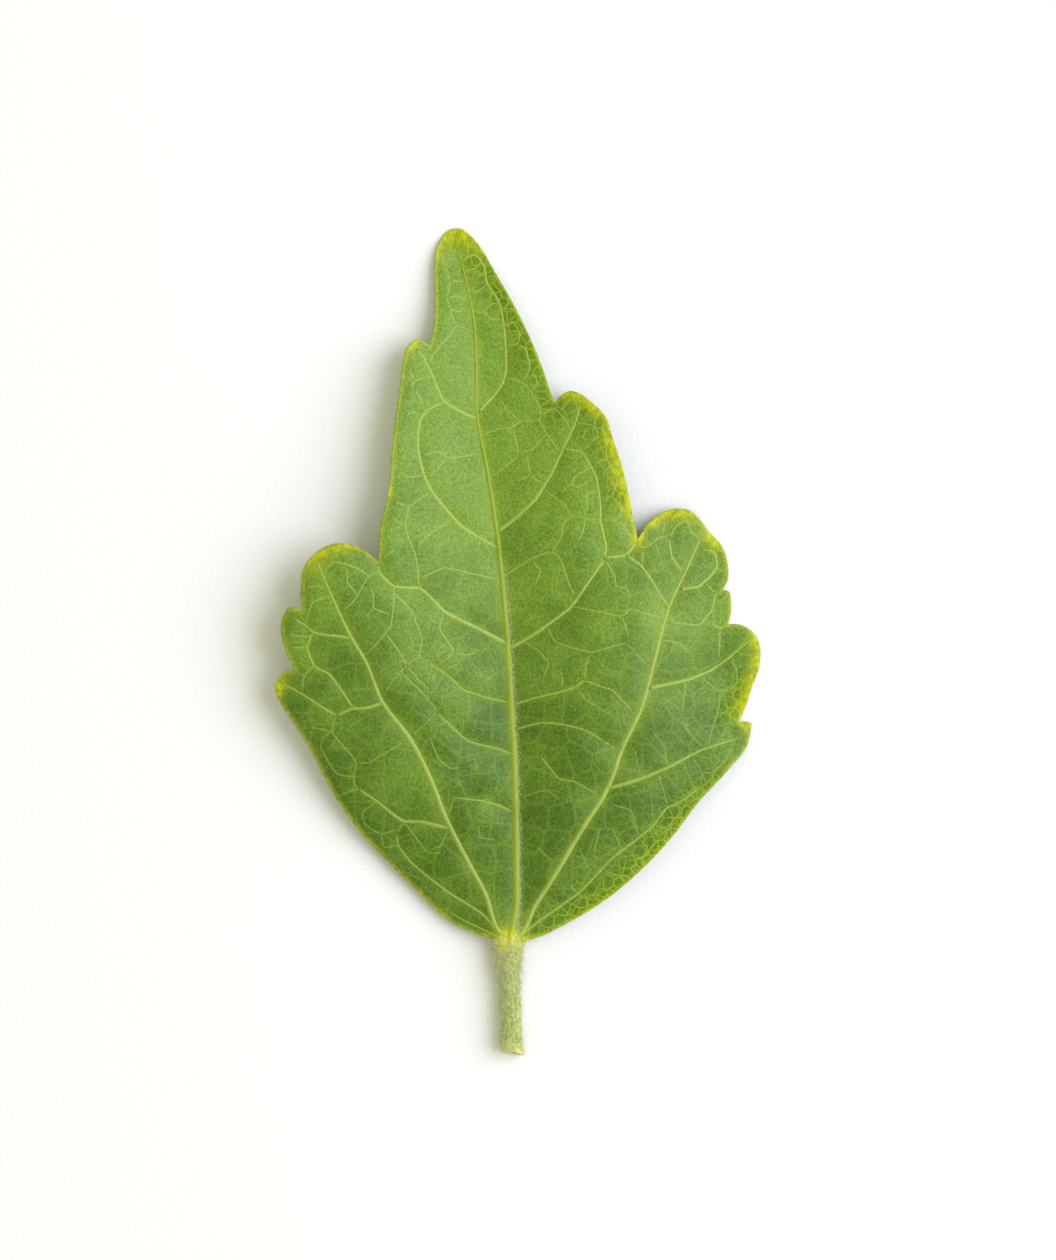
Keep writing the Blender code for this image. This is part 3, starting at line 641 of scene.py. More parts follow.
def broad_height(points):
    """Height of the sheet bent smoothly through HEIGHTS, without creases."""
    known = np.asarray(HEIGHTS)
    weights = plate_weights()
    reach = np.linalg.norm(points[:, None, :] - known[None, :, :2], axis=-1)
    flat = np.column_stack([np.ones(len(points)), points])
    return thin_plate(reach) @ weights[:len(known)] + flat @ weights[len(known):]


def crease(distance, shape):
    """Depth of a rounded crease: falls off exponentially with the distance from it."""
    width, depth, roundness = shape
    softened = np.sqrt(distance**2 + roundness**2) - roundness
    return depth * np.exp(-softened / width)


def swelling(points, height):
    """Gentle puckers: a sum of plane waves of random direction and length."""
    random = np.random.default_rng(SEED)
    waves = 14
    shortest, longest = 1.6, 5.0
    turn = random.uniform(0, 2 * math.pi, waves)
    number = 2 * math.pi / random.uniform(shortest, longest, waves)
    phase = random.uniform(0, 2 * math.pi, waves)
    vectors = np.stack([np.cos(turn), np.sin(turn)]) * number
    return height * np.sin(points @ vectors + phase).sum(axis=1) / math.sqrt(waves)


def top_height(points):
    """Height of the blade's top face: broad shape and puckers, less creases and curl.

    The result h levels off softly at the rest height r, where the leaf touches what it
    lies on: r plus half the sum of (h - r) and the root of (h - r) squared plus a
    softness squared.
    """
    sizes = bpy.context.scene.leaf_sizes
    main_reach, branch_reach, mesh_reach, curl_reach, curl_width = 9.0, 2.5, 1.4, 3.0, 0.55
    branches, meshes = vein_lines()
    shapes = (MIDRIB_CREASE, LATERAL_CREASE, LATERAL_CREASE)
    main = [
        crease(distance_to(line, points, main_reach), shape)
        for line, shape in zip(main_lines(), shapes)
    ]
    fade = np.interp(points[:, 1], *zip(*CREASE_FADE))
    small = crease(nearest(branches, points, branch_reach), BRANCH_CREASE)
    small = small + crease(nearest(meshes, points, mesh_reach), MESH_CREASE)
    curl = sizes.margin_curl / MM * bell(margin_distance(points, curl_reach), curl_width)
    detail = swelling(points, sizes.pucker / MM) - small - curl
    lift = broad_height(points) - fade * np.max(main, axis=0) + detail - REST_TOP
    return REST_TOP + 0.5 * (lift + np.sqrt(lift**2 + REST_SOFTNESS**2))


def margin_distance(points, reach):
    """Distance of each point from the margin, no more than reach."""
    return nearest(margin_lines(), points, reach)


def bottom_height(points, top):
    """Height of the blade's lower face: the blade thins towards its margin."""
    sizes = bpy.context.scene.leaf_sizes
    middle, edge = sizes.blade_thickness / MM, sizes.edge_thickness / MM
    closeness = 1.0 - margin_distance(points, EDGE_TAPER) / EDGE_TAPER
    return np.maximum(top - middle + (middle - edge) * closeness**2, FLOOR_GAP)


def bell(distance, width):
    """1 at no distance, falling as the exponential of less (distance over width) squared."""
    return np.exp(-(distance / width)**2)


def spot_bells(points, spots):
    """A bell round each spot (x, y, reach, ...), as a column for each spot."""
    spots = np.asarray(spots)
    gap = np.linalg.norm(points[:, None, :] - spots[None, :, :2], axis=-1)
    return bell(gap, spots[:, 2])


def tissue_attributes(points):
    """How yellow, how finely meshed, how near the stalk and how pale each point is; the paleness also
    holds painted shade along the left margins, and the yellow a painted glow on the thin rim.
    """
    edge_reach, right_reach = 3.0, 6.0
    rim_width, rim_yellow_and_glow = 0.17, 0.60
    spot_depth, spot_yellow = 0.85, 1.2
    least_meshed = 0.22
    joint_aside, joint_reach = 0.2, 0.8
    lowest_tone, spot_change = 0.2, 0.8
    edge = margin_distance(points, edge_reach)
    _, right = margin_lines()
    beside_right = distance_to(right, points, right_reach)
    patch = spot_bells(points, YELLOW_SPOTS).max(axis=1)
    # The thin rim is partly yellowed margin and partly painted glow of light shining through the thin
    # edge.
    yellow = rim_yellow_and_glow * bell(edge, rim_width) + spot_yellow * patch * bell(edge, spot_depth)
    share = np.interp(points[:, 1], *zip(*MESHED_EDGE))
    meshed = least_meshed + (1.0 - least_meshed) * share * bell(beside_right, MESHED_REACH)
    joint = bell(np.hypot(points[:, 0] + joint_aside, points[:, 1]), joint_reach)
    start, end = TONE_RANGE
    rise = np.clip((points[:, 1] - start) / (end - start), 0.0, 1.0)
    tone_and_shade = lowest_tone + (1.0 - lowest_tone) * rise**2 * (3.0 - 2.0 * rise)
    changes = np.asarray(TONES_AND_SHADE)[:, 3]
    # Some of these spots are painted shade along the curled-down left margin.
    tone_and_shade = tone_and_shade + spot_change * spot_bells(points, TONES_AND_SHADE) @ changes
    return {"yellow": np.clip(yellow, 0.0, 1.0), "meshed": meshed, "joint": joint, "tone_and_shade": tone_and_shade}


# ---------------------------------------------------------------- meshes


@functools.cache
def frame_shift():
    """Move from the leaf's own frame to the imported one, in millimetres."""
    low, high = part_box(NODE)
    left, _ = margin_lines()
    return np.array([low.x / MM - left[:, 0].min(), high.y / MM - TIP_HEIGHT, 0.0])


def make_object(name, vertices, faces, material, attributes=None):
    """Make a smooth object from vertices in the leaf's frame, riding on the leaf."""
    placed = (np.asarray(vertices, float) + frame_shift()) * MM
    mesh = bpy.data.meshes.new(name)
    mesh.from_pydata(placed.tolist(), [], [face for group in faces for face in group.tolist()])
    for label, values in (attributes or {}).items():
        layer = mesh.attributes.new(label, "FLOAT", "POINT")
        layer.data.foreach_set("value", np.asarray(values, np.float32))
    mesh.materials.append(material)
    mesh.shade_smooth()
    mesh.update()
    piece = bpy.data.objects.new(name, mesh)
    bpy.context.scene.collection.objects.link(piece)
    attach(piece, BODY)
    return piece


def grid_quads(index):
    """Quads between the neighbouring rows and columns of a grid of vertex numbers."""
    return np.stack([index[:-1, :-1], index[:-1, 1:], index[1:, 1:], index[1:, :-1]],
                    axis=-1).reshape(-1, 4)


def blade_plan():
    """Plan positions of the blade's vertices: rows span from margin to midrib to margin."""
    heights = row_heights()
    spine = midrib_at(heights)[:, None, :]
    even = np.linspace(0.0, 1.0, COLUMNS_PER_HALF + 1)
    crowded = 0.5 - 0.5 * np.cos(math.pi * even)
    share = (even + COLUMN_CROWDING * (crowded - even))[None, :, None]
    right = spine + share * (margin_at(RIGHT_MARGIN, heights)[:, None, :] - spine)
    left = spine + share * (margin_at(LEFT_MARGIN, heights)[:, None, :] - spine)
    return np.concatenate([left[:, :0:-1], right], axis=1)


def outward_from(loop):
    """Unit directions out of a closed loop, square to the run between its neighbours."""
    ahead = np.roll(loop, -1, axis=0) - np.roll(loop, 1, axis=0)
    outward = np.column_stack([ahead[:, 1], -ahead[:, 0]])
    return outward / np.maximum(np.linalg.norm(outward, axis=1, keepdims=True), TINY)


def closeness_to_veins(points):
    """1 along the main veins and less along the branches, falling off beside both."""
    main_reach, main_width = 3.0, 0.42
    branch_reach, branch_width, branch_share = 2.0, 0.22, 0.55
    branches, _ = vein_lines()
    beside_main = bell(nearest(main_lines(), points, main_reach), main_width)
    beside_branch = branch_share * bell(nearest(branches, points, branch_reach), branch_width)
    return np.maximum(beside_main, beside_branch)


def build_blade():
    """The blade: a top and a lower grid joined by a rounded strip around the margin."""
    sizes = bpy.context.scene.leaf_sizes
    plan = blade_plan()
    rows, columns, _ = plan.shape
    flat = plan.reshape(-1, 2)
    count = len(flat)
    top = top_height(flat)
    bottom = bottom_height(flat, top)
    index = np.arange(count).reshape(rows, columns)
    rim = np.concatenate([index[0, :], index[1:, -1], index[-1, -2::-1], index[-2:0:-1, 0]])
    edge_plan = flat[rim] + outward_from(flat[rim]) * sizes.edge_bulge / MM
    edge_height = 0.5 * (top[rim] + bottom[rim])
    vertices = np.concatenate([
        np.column_stack([flat, top]), np.column_stack([flat, bottom]),
        np.column_stack([edge_plan, edge_height]),
    ])
    upper, lower, edge = rim, rim + count, 2 * count + np.arange(len(rim))
    after = np.roll(np.arange(len(rim)), -1)
    faces = [
        grid_quads(index), grid_quads(index)[:, ::-1] + count,
        np.stack([upper[after], upper, edge, edge[after]], axis=1),
        np.stack([edge[after], edge, lower, lower[after]], axis=1),
    ]
    values = tissue_attributes(flat)
    values["beside_vein"] = closeness_to_veins(flat)
    attributes = {
        label: np.concatenate([value, value, value[rim]]) for label, value in values.items()
    }
    edge_lower = 0.3
    attributes["lower_face"] = np.concatenate([np.zeros(count), np.ones(count),
                                               np.full(len(rim), edge_lower)])
    blade = make_object("blade", vertices, faces, leaf_material("blade_tissue"), attributes)
    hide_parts(NODE)


def vein_rings(route, spacing, bluntness, widths, relief, under_widths, under_relief):
    """Rings of points round one vein, which goes through the blade from top to bottom.

    Seen across, the upper side is a cosine squared that starts just below the blade's
    top face, and the lower side is half an ellipse below its lower face. Also given are
    how near each point is to the vein's middle, fading at its ends, and whether it lies
    on the lower side.
    """
    line = stations(route, spacing, bluntness)
    share = np.linspace(0.0, 1.0, len(line))
    ahead = np.gradient(line, axis=0)
    ahead /= np.linalg.norm(ahead, axis=1, keepdims=True)
    side = np.column_stack([ahead[:, 1], -ahead[:, 0]])
    half = 0.5 * widths(share)
    under_half = 0.5 * under_widths(share)
    u = np.linspace(-1.0, 1.0, ACROSS)
    upper = line[:, None, :] + (half[:, None] * u)[..., None] * side[:, None, :]
    lower = line[:, None, :] - (under_half[:, None] * u)[..., None] * side[:, None, :]
    sink = 0.015
    crown = top_height(upper.reshape(-1, 2)).reshape(upper.shape[:2])
    crown = crown - sink + (relief(share)[:, None] + sink) * np.cos(0.5 * math.pi * u)**2
    keel_plan = lower.reshape(-1, 2)
    keel = bottom_height(keel_plan, top_height(keel_plan)).reshape(lower.shape[:2])
    keel = keel + sink - (under_relief(share)[:, None] + sink) * np.sqrt(1.0 - u**2)
    keel = np.maximum(keel, FLOOR_GAP)
    rings = np.concatenate([
        np.concatenate([upper, crown[..., None]], axis=-1),
        np.concatenate([lower, keel[..., None]], axis=-1),
    ], axis=1)
    at_end, rise = 0.25, 1.5
    from_end = np.minimum(share, 1.0 - share) * path_length(route)
    full = np.clip(at_end + rise * from_end, 0.0, 1.0)
    across = (1.0 - np.concatenate([u, u])**2) * full[:, None]
    under = np.concatenate([np.zeros(ACROSS), np.ones(ACROSS)])
    return rings, across, np.broadcast_to(under, rings.shape[:2])


def tube_faces(ring_count, ring_size, offset):
    """Quads round an open tube of rings, whose vertices are numbered from offset on."""
    index = np.arange(ring_count * ring_size).reshape(ring_count, ring_size) + offset
    wrapped = np.concatenate([index, index[:, :1]], axis=1)
    return grid_quads(wrapped)


def strip_caps(ring_count, offset):
    """Quads across the flat ring at each end of a vein."""
    upper = np.arange(ACROSS)
    lower = 2 * ACROSS - 1 - upper
    first = np.stack([upper[1:], upper[:-1], lower[:-1], lower[1:]], axis=1) + offset
    return first, first[:, ::-1] + (ring_count - 1) * 2 * ACROSS


def build_vein_piece(name, veins, strength, paleness, near_stalk=1.0):
    """Join the rings of several veins into one object with the tissue's attributes.

    The vein's colour covers the tissue by strength, of which the share near_stalk is
    left at the stalk, and is pale by paleness.
    """
    points, quads, across, under = [], [], [], []
    offset = 0
    for vein in veins:
        rings, cover, below = vein_rings(*vein)
        quads.append(tube_faces(rings.shape[0], rings.shape[1], offset))
        quads.extend(strip_caps(rings.shape[0], offset))
        points.append(rings.reshape(-1, 3))
        across.append(cover.ravel())
        under.append(below.ravel())
        offset += rings.shape[0] * rings.shape[1]
    vertices = np.concatenate(points)
    attributes = tissue_attributes(vertices[:, :2])
    attributes["beside_vein"] = np.ones(len(vertices))
    attributes["across"] = np.concatenate(across)
    attributes["lower_face"] = np.concatenate(under)
    material = leaf_material(name + "_tissue", strength, paleness, near_stalk)
    return make_object(name, vertices, quads, material, attributes)


def profile(table, length):
    """A size read from (distance, size) pairs, as a function of the share of length."""
    return lambda share: np.interp(share * length, *zip(*table))


def taper(start, end):
    """A size that goes evenly from start to end along a vein."""
    return lambda share: start + (end - start) * share


def fade_out(size, last):
    """A size that falls evenly to the share last of itself at a vein's end."""
    return taper(size, size * last)


def build_main_veins():
    """The midrib and the two side veins: low bells above and round ribs below."""
    sizes = bpy.context.scene.leaf_sizes
    relief, deep = sizes.vein_relief / MM, sizes.under_relief / MM
    spacing = 0.25
    start = (0.0, 0.0)
    midrib = [start] + MIDRIB[1:]
    length = path_length(midrib)
    build_vein_piece("midrib", [(
        midrib, spacing, 0.0, profile(MIDRIB_WIDTHS, length), fade_out(relief, 0.25),
        profile(MIDRIB_RIB_WIDTHS, length), fade_out(deep, 0.10),
    )], strength=1.0, paleness=0.1)
    side_veins = []
    for route in (LEFT_LATERAL, RIGHT_LATERAL):
        length = path_length(route)
        side_veins.append((
            [start] + route, spacing, 0.0, profile(LATERAL_WIDTHS, length),
            fade_out(0.7 * relief, 0.3), profile(LATERAL_RIB_WIDTHS, length),
            fade_out(0.55 * deep, 0.15),
        ))
    build_vein_piece("side_veins", side_veins, strength=0.95, paleness=0.75)


def build_branches():
    """The branches of the main veins: each tapers evenly from its start to its end."""
    sizes = bpy.context.scene.leaf_sizes
    relief, deep = sizes.vein_relief / MM, sizes.under_relief / MM
    spacing = 0.22
    raised, last_raised = 0.36 * relief, 0.5
    sunk, last_sunk = 0.16 * deep, 0.5
    veins = [
        (route, spacing, BLUNTNESS, taper(1.45 * start, 1.5 * end), fade_out(raised, last_raised),
         taper(1.3 * start, 1.2 * end), fade_out(sunk, last_sunk))
        for start, end, route in BRANCHES
    ]
    build_vein_piece("branch_veins", veins, strength=0.95, paleness=0.85, near_stalk=0.65)


def build_meshes():
    """The meshes of thin veins between the branches, all with the same widths."""
    sizes = bpy.context.scene.leaf_sizes
    relief, deep = sizes.vein_relief / MM, sizes.under_relief / MM
    spacing = 0.2
    above = taper(MESH_WIDTH, 0.85 * MESH_WIDTH), fade_out(0.15 * relief, 0.8)
    below = taper(1.3 * MESH_WIDTH, MESH_WIDTH), fade_out(0.06 * deep, 0.6)
    veins = [(route, spacing, BLUNTNESS, *above, *below) for route in MESHES]
    build_vein_piece("mesh_veins", veins, strength=0.62, paleness=0.8, near_stalk=0.32)


def stalk_rings(random, sides):
    """Rings of points along the stalk: ellipses with ridges and lumps, torn at the cut.

    Each ellipse swells by two cosines round the stalk, which are its ridges, and by
    sines that run both round and along it, which are its lumps. Near the cut the points
    move along the stalk by CUT_SLANT times their place across it, and at random.
    """
    rings = 130
    lump_count, lump_low, lump_high = 10, 0.004, 0.014
    cut_reach, torn_depth = 1.2, 0.06
    line = along(STALK, np.linspace(0.0, 1.0, rings))
    centre, wide, high = line[:, :3], line[:, 3:4], line[:, 4:5]
    ahead = np.gradient(centre, axis=0)
    ahead /= np.linalg.norm(ahead, axis=1, keepdims=True)
    side = np.cross(ahead, (0.0, 0.0, 1.0))
    side /= np.linalg.norm(side, axis=1, keepdims=True)
    upward = np.cross(side, ahead)
    turn = np.linspace(0.0, 2 * math.pi, sides, endpoint=False)
    ridges = 0.018 * np.cos(9 * turn + 1.2) + 0.012 * np.cos(14 * turn + 0.4)
    lumps = sum(
        random.uniform(lump_low, lump_high) * np.sin(
            random.uniform(1.0, 5.0) * centre[:, 1:2] + round(random.uniform(0, 6)) * turn[None, :]
            + random.uniform(0, 2 * math.pi))
        for _ in range(lump_count)
    )
    swell = 1.0 + ridges[None, :] + lumps
    tube = (centre[:, None, :]
            + (swell * wide * np.cos(turn))[..., None] * side[:, None, :]
            + (swell * high * np.sin(turn))[..., None] * upward[:, None, :])
    nearness = np.clip(1.0 - (centre[:, 1] - centre[0, 1]) / cut_reach, 0.0, 1.0)[:, None]
    torn = random.normal(0.0, torn_depth, sides)[None, :] * nearness**4
    tube[..., 1] += torn - CUT_SLANT * nearness * (tube[..., 0] - centre[:, None, 0])
    return tube


def cut_rings(random, first_ring, middle, bulge, rings):
    """Rings on the cut's face, which bulges as 1 less the distance from its middle squared."""
    crumble = 0.02
    shrink = np.linspace(1.0, 0.0, rings + 1)[1:-1]
    cap = middle + shrink[:, None, None] * (first_ring - middle)[None]
    cap[..., 1] += bulge * (1.0 - shrink[:, None]**2) + random.normal(0, crumble, cap.shape[:2])
    return cap[::-1]


def end_fans(ring_count, sides):
    """Triangles that close a tube's first ring and its last one at a hub each."""
    first = np.arange(sides)
    after = np.roll(first, -1)
    last = (ring_count - 1) * sides
    hub = ring_count * sides
    return [
        np.stack([after, first, np.full(sides, hub)], axis=1),
        np.stack([first + last, after + last, np.full(sides, hub + 1)], axis=1),
    ]


def build_stalk():
    """The stalk: a closed tube of rings, with the cut's face at its first end."""
    random = np.random.default_rng(SEED + 1)
    sides, cap_rings, bulge = 72, 6, 0.10
    cut_fade, joint_reach, joint_start = 4.5, 1.15, 0.1
    tube = stalk_rings(random, sides)
    heart = tube[0].mean(axis=0)
    rows = np.concatenate([cut_rings(random, tube[0], heart, bulge, cap_rings), tube])
    rows[..., 2] = np.maximum(rows[..., 2], FLOOR_GAP)
    hubs = [heart + (0, bulge, 0), tube[-1].mean(axis=0)]
    vertices = np.concatenate([rows.reshape(-1, 3), hubs])
    total = rows.shape[0]
    faces = [tube_faces(total, sides, 0), *end_fans(total, sides)]
    behind = np.repeat(np.arange(total) - (cap_rings - 1), sides)
    cut = np.append(bell(np.clip(behind, 0, None), cut_fade), [1.0, 0.0])
    joint = bell(np.clip(-vertices[:, 1] + joint_start, 0.0, None), joint_reach)
    make_object("stalk", vertices, faces, stalk_material(), {"cut": cut, "joint": joint})


def hairs(name, roots, directions, lengths, thickness, bend):
    """Tapered bent hairs, each a spike whose middle is root + length (s d + s squared b)."""
    joints, corners, taper_power, steep = 4, 3, 0.6, 0.8
    count = len(roots)
    directions = directions / np.linalg.norm(directions, axis=1, keepdims=True)
    helper = np.where(np.abs(directions[:, 2:3]) > steep, [[1.0, 0.0, 0.0]], [[0.0, 0.0, 1.0]])
    side = np.cross(directions, helper)
    side /= np.linalg.norm(side, axis=1, keepdims=True)
    other = np.cross(directions, side)
    s = np.linspace(0.0, 1.0, joints + 1)[:-1]
    middle = roots[:, None, :] + lengths[:, None, None] * (
        s[None, :, None] * directions[:, None, :] + (s**2)[None, :, None] * bend[:, None, :])
    turn = 2 * math.pi * np.arange(corners) / corners
    ring = (np.cos(turn)[None, :, None] * side[:, None, :]
            + np.sin(turn)[None, :, None] * other[:, None, :])
    width = thickness * (1.0 - s)**taper_power
    shell = middle[:, :, None, :] + width[None, :, None, None] * ring[:, None, :, :]
    tip = roots + lengths[:, None] * (directions + bend)
    block = np.concatenate([shell.reshape(count, -1, 3), tip[:, None, :]], axis=1)
    block[..., 2] = np.maximum(block[..., 2], FLOOR_GAP)
    size = block.shape[1]
    index = np.arange(joints * corners).reshape(joints, corners)
    quads = grid_quads(np.concatenate([index, index[:, :1]], axis=1))
    last = index[-1]
    tris = np.concatenate([
        np.stack([last, np.roll(last, -1), np.full(corners, size - 1)], axis=1), [index[0][::-1]],
    ])
    offsets = (np.arange(count) * size)[:, None, None]
    return make_object(name, block.reshape(-1, 3),
                       [(quads[None] + offsets).reshape(-1, 4), (tris[None] + offsets).reshape(-1, 3)],
                       hair_material())


def build_stalk_hairs():
    """Fine pale hairs all over the stalk, longer just below the blade."""
    random = np.random.default_rng(SEED + 2)
    count, thickness, sunk = 5200, 0.012, 0.97
    crowding, lean_share, curl, droop = 0.85, 0.6, 0.35, 0.2
    fuzz_place, fuzz_reach, fuzz_growth = -1.8, 1.3, 0.7
    sizes = bpy.context.scene.leaf_sizes
    below_blade = [ring for ring in STALK if ring[1] < 0.5]
    share = random.uniform(0.01, 0.99, count)**crowding
    line = along(below_blade, share)
    turn = random.uniform(0.0, 2 * math.pi, count)
    out = np.column_stack([np.cos(turn), np.zeros(count), np.sin(turn)])
    roots = line[:, :3] + sunk * out * line[:, [3, 3, 4]]
    lean = random.normal(0.0, 0.9, (count, 3)) * (1.0, 1.6, 1.0)
    directions = out + lean * lean_share
    bend = random.normal(0.0, curl, (count, 3)) - droop * out
    fuzz = 1.0 + fuzz_growth * bell(line[:, 1] - fuzz_place, fuzz_reach)
    lengths = sizes.stalk_hair / MM * random.uniform(0.35, 1.1, count) * fuzz
    hairs("stalk_hairs", roots, directions, lengths, thickness, bend)


def build_vein_hairs():
    """Hairs beside the midrib and side veins, and small tufts all over the blade."""
    random = np.random.default_rng(SEED + 3)
    sizes = bpy.context.scene.leaf_sizes
    per_millimetre, thickness, sunk = 9, 0.010, 0.01
    flank_count, flank_end, flank_crowding = 1100, 26.0, 1.3
    flank_aside, flank_scatter = 0.31, 0.06
    tuft_hairs, small_tufts, small_hairs, small_share = 9, 260, 4, 0.45
    spots = []
    flank = random.uniform(0.0, 1.0, flank_count)**flank_crowding * flank_end
    beside = flank_aside + random.normal(0.0, flank_scatter, len(flank))
    spots.append(midrib_at(flank) + np.column_stack([beside, np.zeros(len(flank))]))
    for route, half in ((MIDRIB, 0.26), (LEFT_LATERAL, 0.18), (RIGHT_LATERAL, 0.18)):
        count = int(path_length(route) * per_millimetre)
        share = random.uniform(0.0, 1.0, count)**1.4
        line = along(route, share)
        offset = random.choice([-1.0, 1.0], count) * half * random.uniform(0.6, 1.5, count)
        spots.append(line + np.column_stack([offset, np.zeros(count)]))
    tufts = np.array([(-5.25, 28.1), (-0.25, 21.2), (3.9, 26.8), (5.3, 26.5), (-5.9, 3.6)])
    scattered = random.uniform((-13.0, 2.0), (14.0, 46.0), (small_tufts, 2))
    small = np.repeat(scattered[inside_margin(scattered)], small_hairs, axis=0)
    plan = np.concatenate([*spots, np.repeat(tufts, tuft_hairs, axis=0), small])
    count = len(plan)
    roots = np.column_stack([plan, top_height(plan) - sunk])
    turn = random.uniform(0.0, 2 * math.pi, count)
    rise = random.uniform(0.15, 0.9, count)
    directions = np.column_stack([np.cos(turn), np.sin(turn), rise])
    bend = random.normal(0.0, 0.2, (count, 3)) * (1.0, 1.0, 0.3)
    lengths = sizes.vein_hair / MM * random.uniform(0.4, 1.1, count)
    lengths[-len(small):] *= small_share
    hairs("vein_hairs", roots, directions, lengths, thickness, bend)


def inside_margin(points):
    """Whether each point lies inside the outline, by counting margin runs to its right."""
    left, right = margin_lines()
    loop = np.concatenate([right, left[::-1], right[:1]])
    start, end = loop[:-1], loop[1:]
    crosses = (start[None, :, 1] > points[:, 1:2]) != (end[None, :, 1] > points[:, 1:2])
    rise = end[:, 1] - start[:, 1]
    slope = (end[:, 0] - start[:, 0]) / np.where(rise == 0, TINY, rise)
    meets = start[None, :, 0] + slope * (points[:, 1:2] - start[None, :, 1])
    return (crosses & (meets > points[:, :1])).sum(axis=1) % 2 == 1


# ---------------------------------------------------------------- materials


def add_node(tree, kind, inputs=None, **settings):
    """Add a shader node; inputs maps a socket to a value or to another node's socket."""
    made = tree.nodes.new(kind)
    for label, value in settings.items():
        setattr(made, label, value)
    for socket, value in (inputs or {}).items():
        if isinstance(value, bpy.types.NodeSocket):
            tree.links.new(value, made.inputs[socket])
        else:
            made.inputs[socket].default_value = value
    return made


def mix_colour(tree, share, first, second):
    """Blend from the first colour to the second by share."""
    return add_node(tree, "ShaderNodeMix", {0: share, 6: first, 7: second},
                    data_type="RGBA").outputs[2]


def calculate(tree, operation, first, second=0.0, third=0.0):
    """A sum or other operation on numbers."""
    return add_node(tree, "ShaderNodeMath", {0: first, 1: second, 2: third},
                    operation=operation).outputs[0]


def smooth_range(tree, value, low, high, start=0.0, end=1.0):
    """Go smoothly from start to end as the value goes from low to high."""
    return add_node(tree, "ShaderNodeMapRange", {0: value, 1: low, 2: high, 3: start, 4: end},
                    interpolation_type="SMOOTHSTEP").outputs[0]


def attribute(tree, label):
    """A number stored on the mesh's points."""
    return add_node(tree, "ShaderNodeAttribute", attribute_name=label).outputs["Fac"]


def solid_colour(colour):
    """A colour with full opacity."""
    return (*colour, 1.0)


def millimetre_place(tree):
    """Object coordinates counted in millimetres."""
    place = add_node(tree, "ShaderNodeTexCoord").outputs["Object"]
    return add_node(tree, "ShaderNodeMapping", {0: place, 3: (1 / MM,) * 3}).outputs[0]


def noise(tree, place, per_millimetre, detail=3.0, roughness=0.55):
    """Cloudy noise with so many lumps to a millimetre."""
    return add_node(tree, "ShaderNodeTexNoise",
                    {"Vector": place, "Scale": per_millimetre, "Detail": detail,
                     "Roughness": roughness})


def warped(tree, place, amount, per_millimetre):
    """Coordinates pushed about by noise, by up to half of amount."""
    push = add_node(tree, "ShaderNodeVectorMath",
                    {0: noise(tree, place, per_millimetre, 1.0).outputs["Color"],
                     1: (0.5, 0.5, 0.5)}, operation="SUBTRACT").outputs[0]
    return add_node(tree, "ShaderNodeVectorMath", {0: push, 1: (amount,) * 3, 2: place},
                    operation="MULTIPLY_ADD").outputs[0]


def mesh_lines(tree, place, size, width):
    """1 on the edges between cells of the given size, fading to 0 within width."""
    edge = add_node(tree, "ShaderNodeTexVoronoi",
                    {"Vector": place, "Scale": 1.0 / size, "Randomness": 0.92},
                    voronoi_dimensions="2D", feature="DISTANCE_TO_EDGE").outputs["Distance"]
    return smooth_range(tree, edge, 0.0, width / size, 1.0, 0.0)


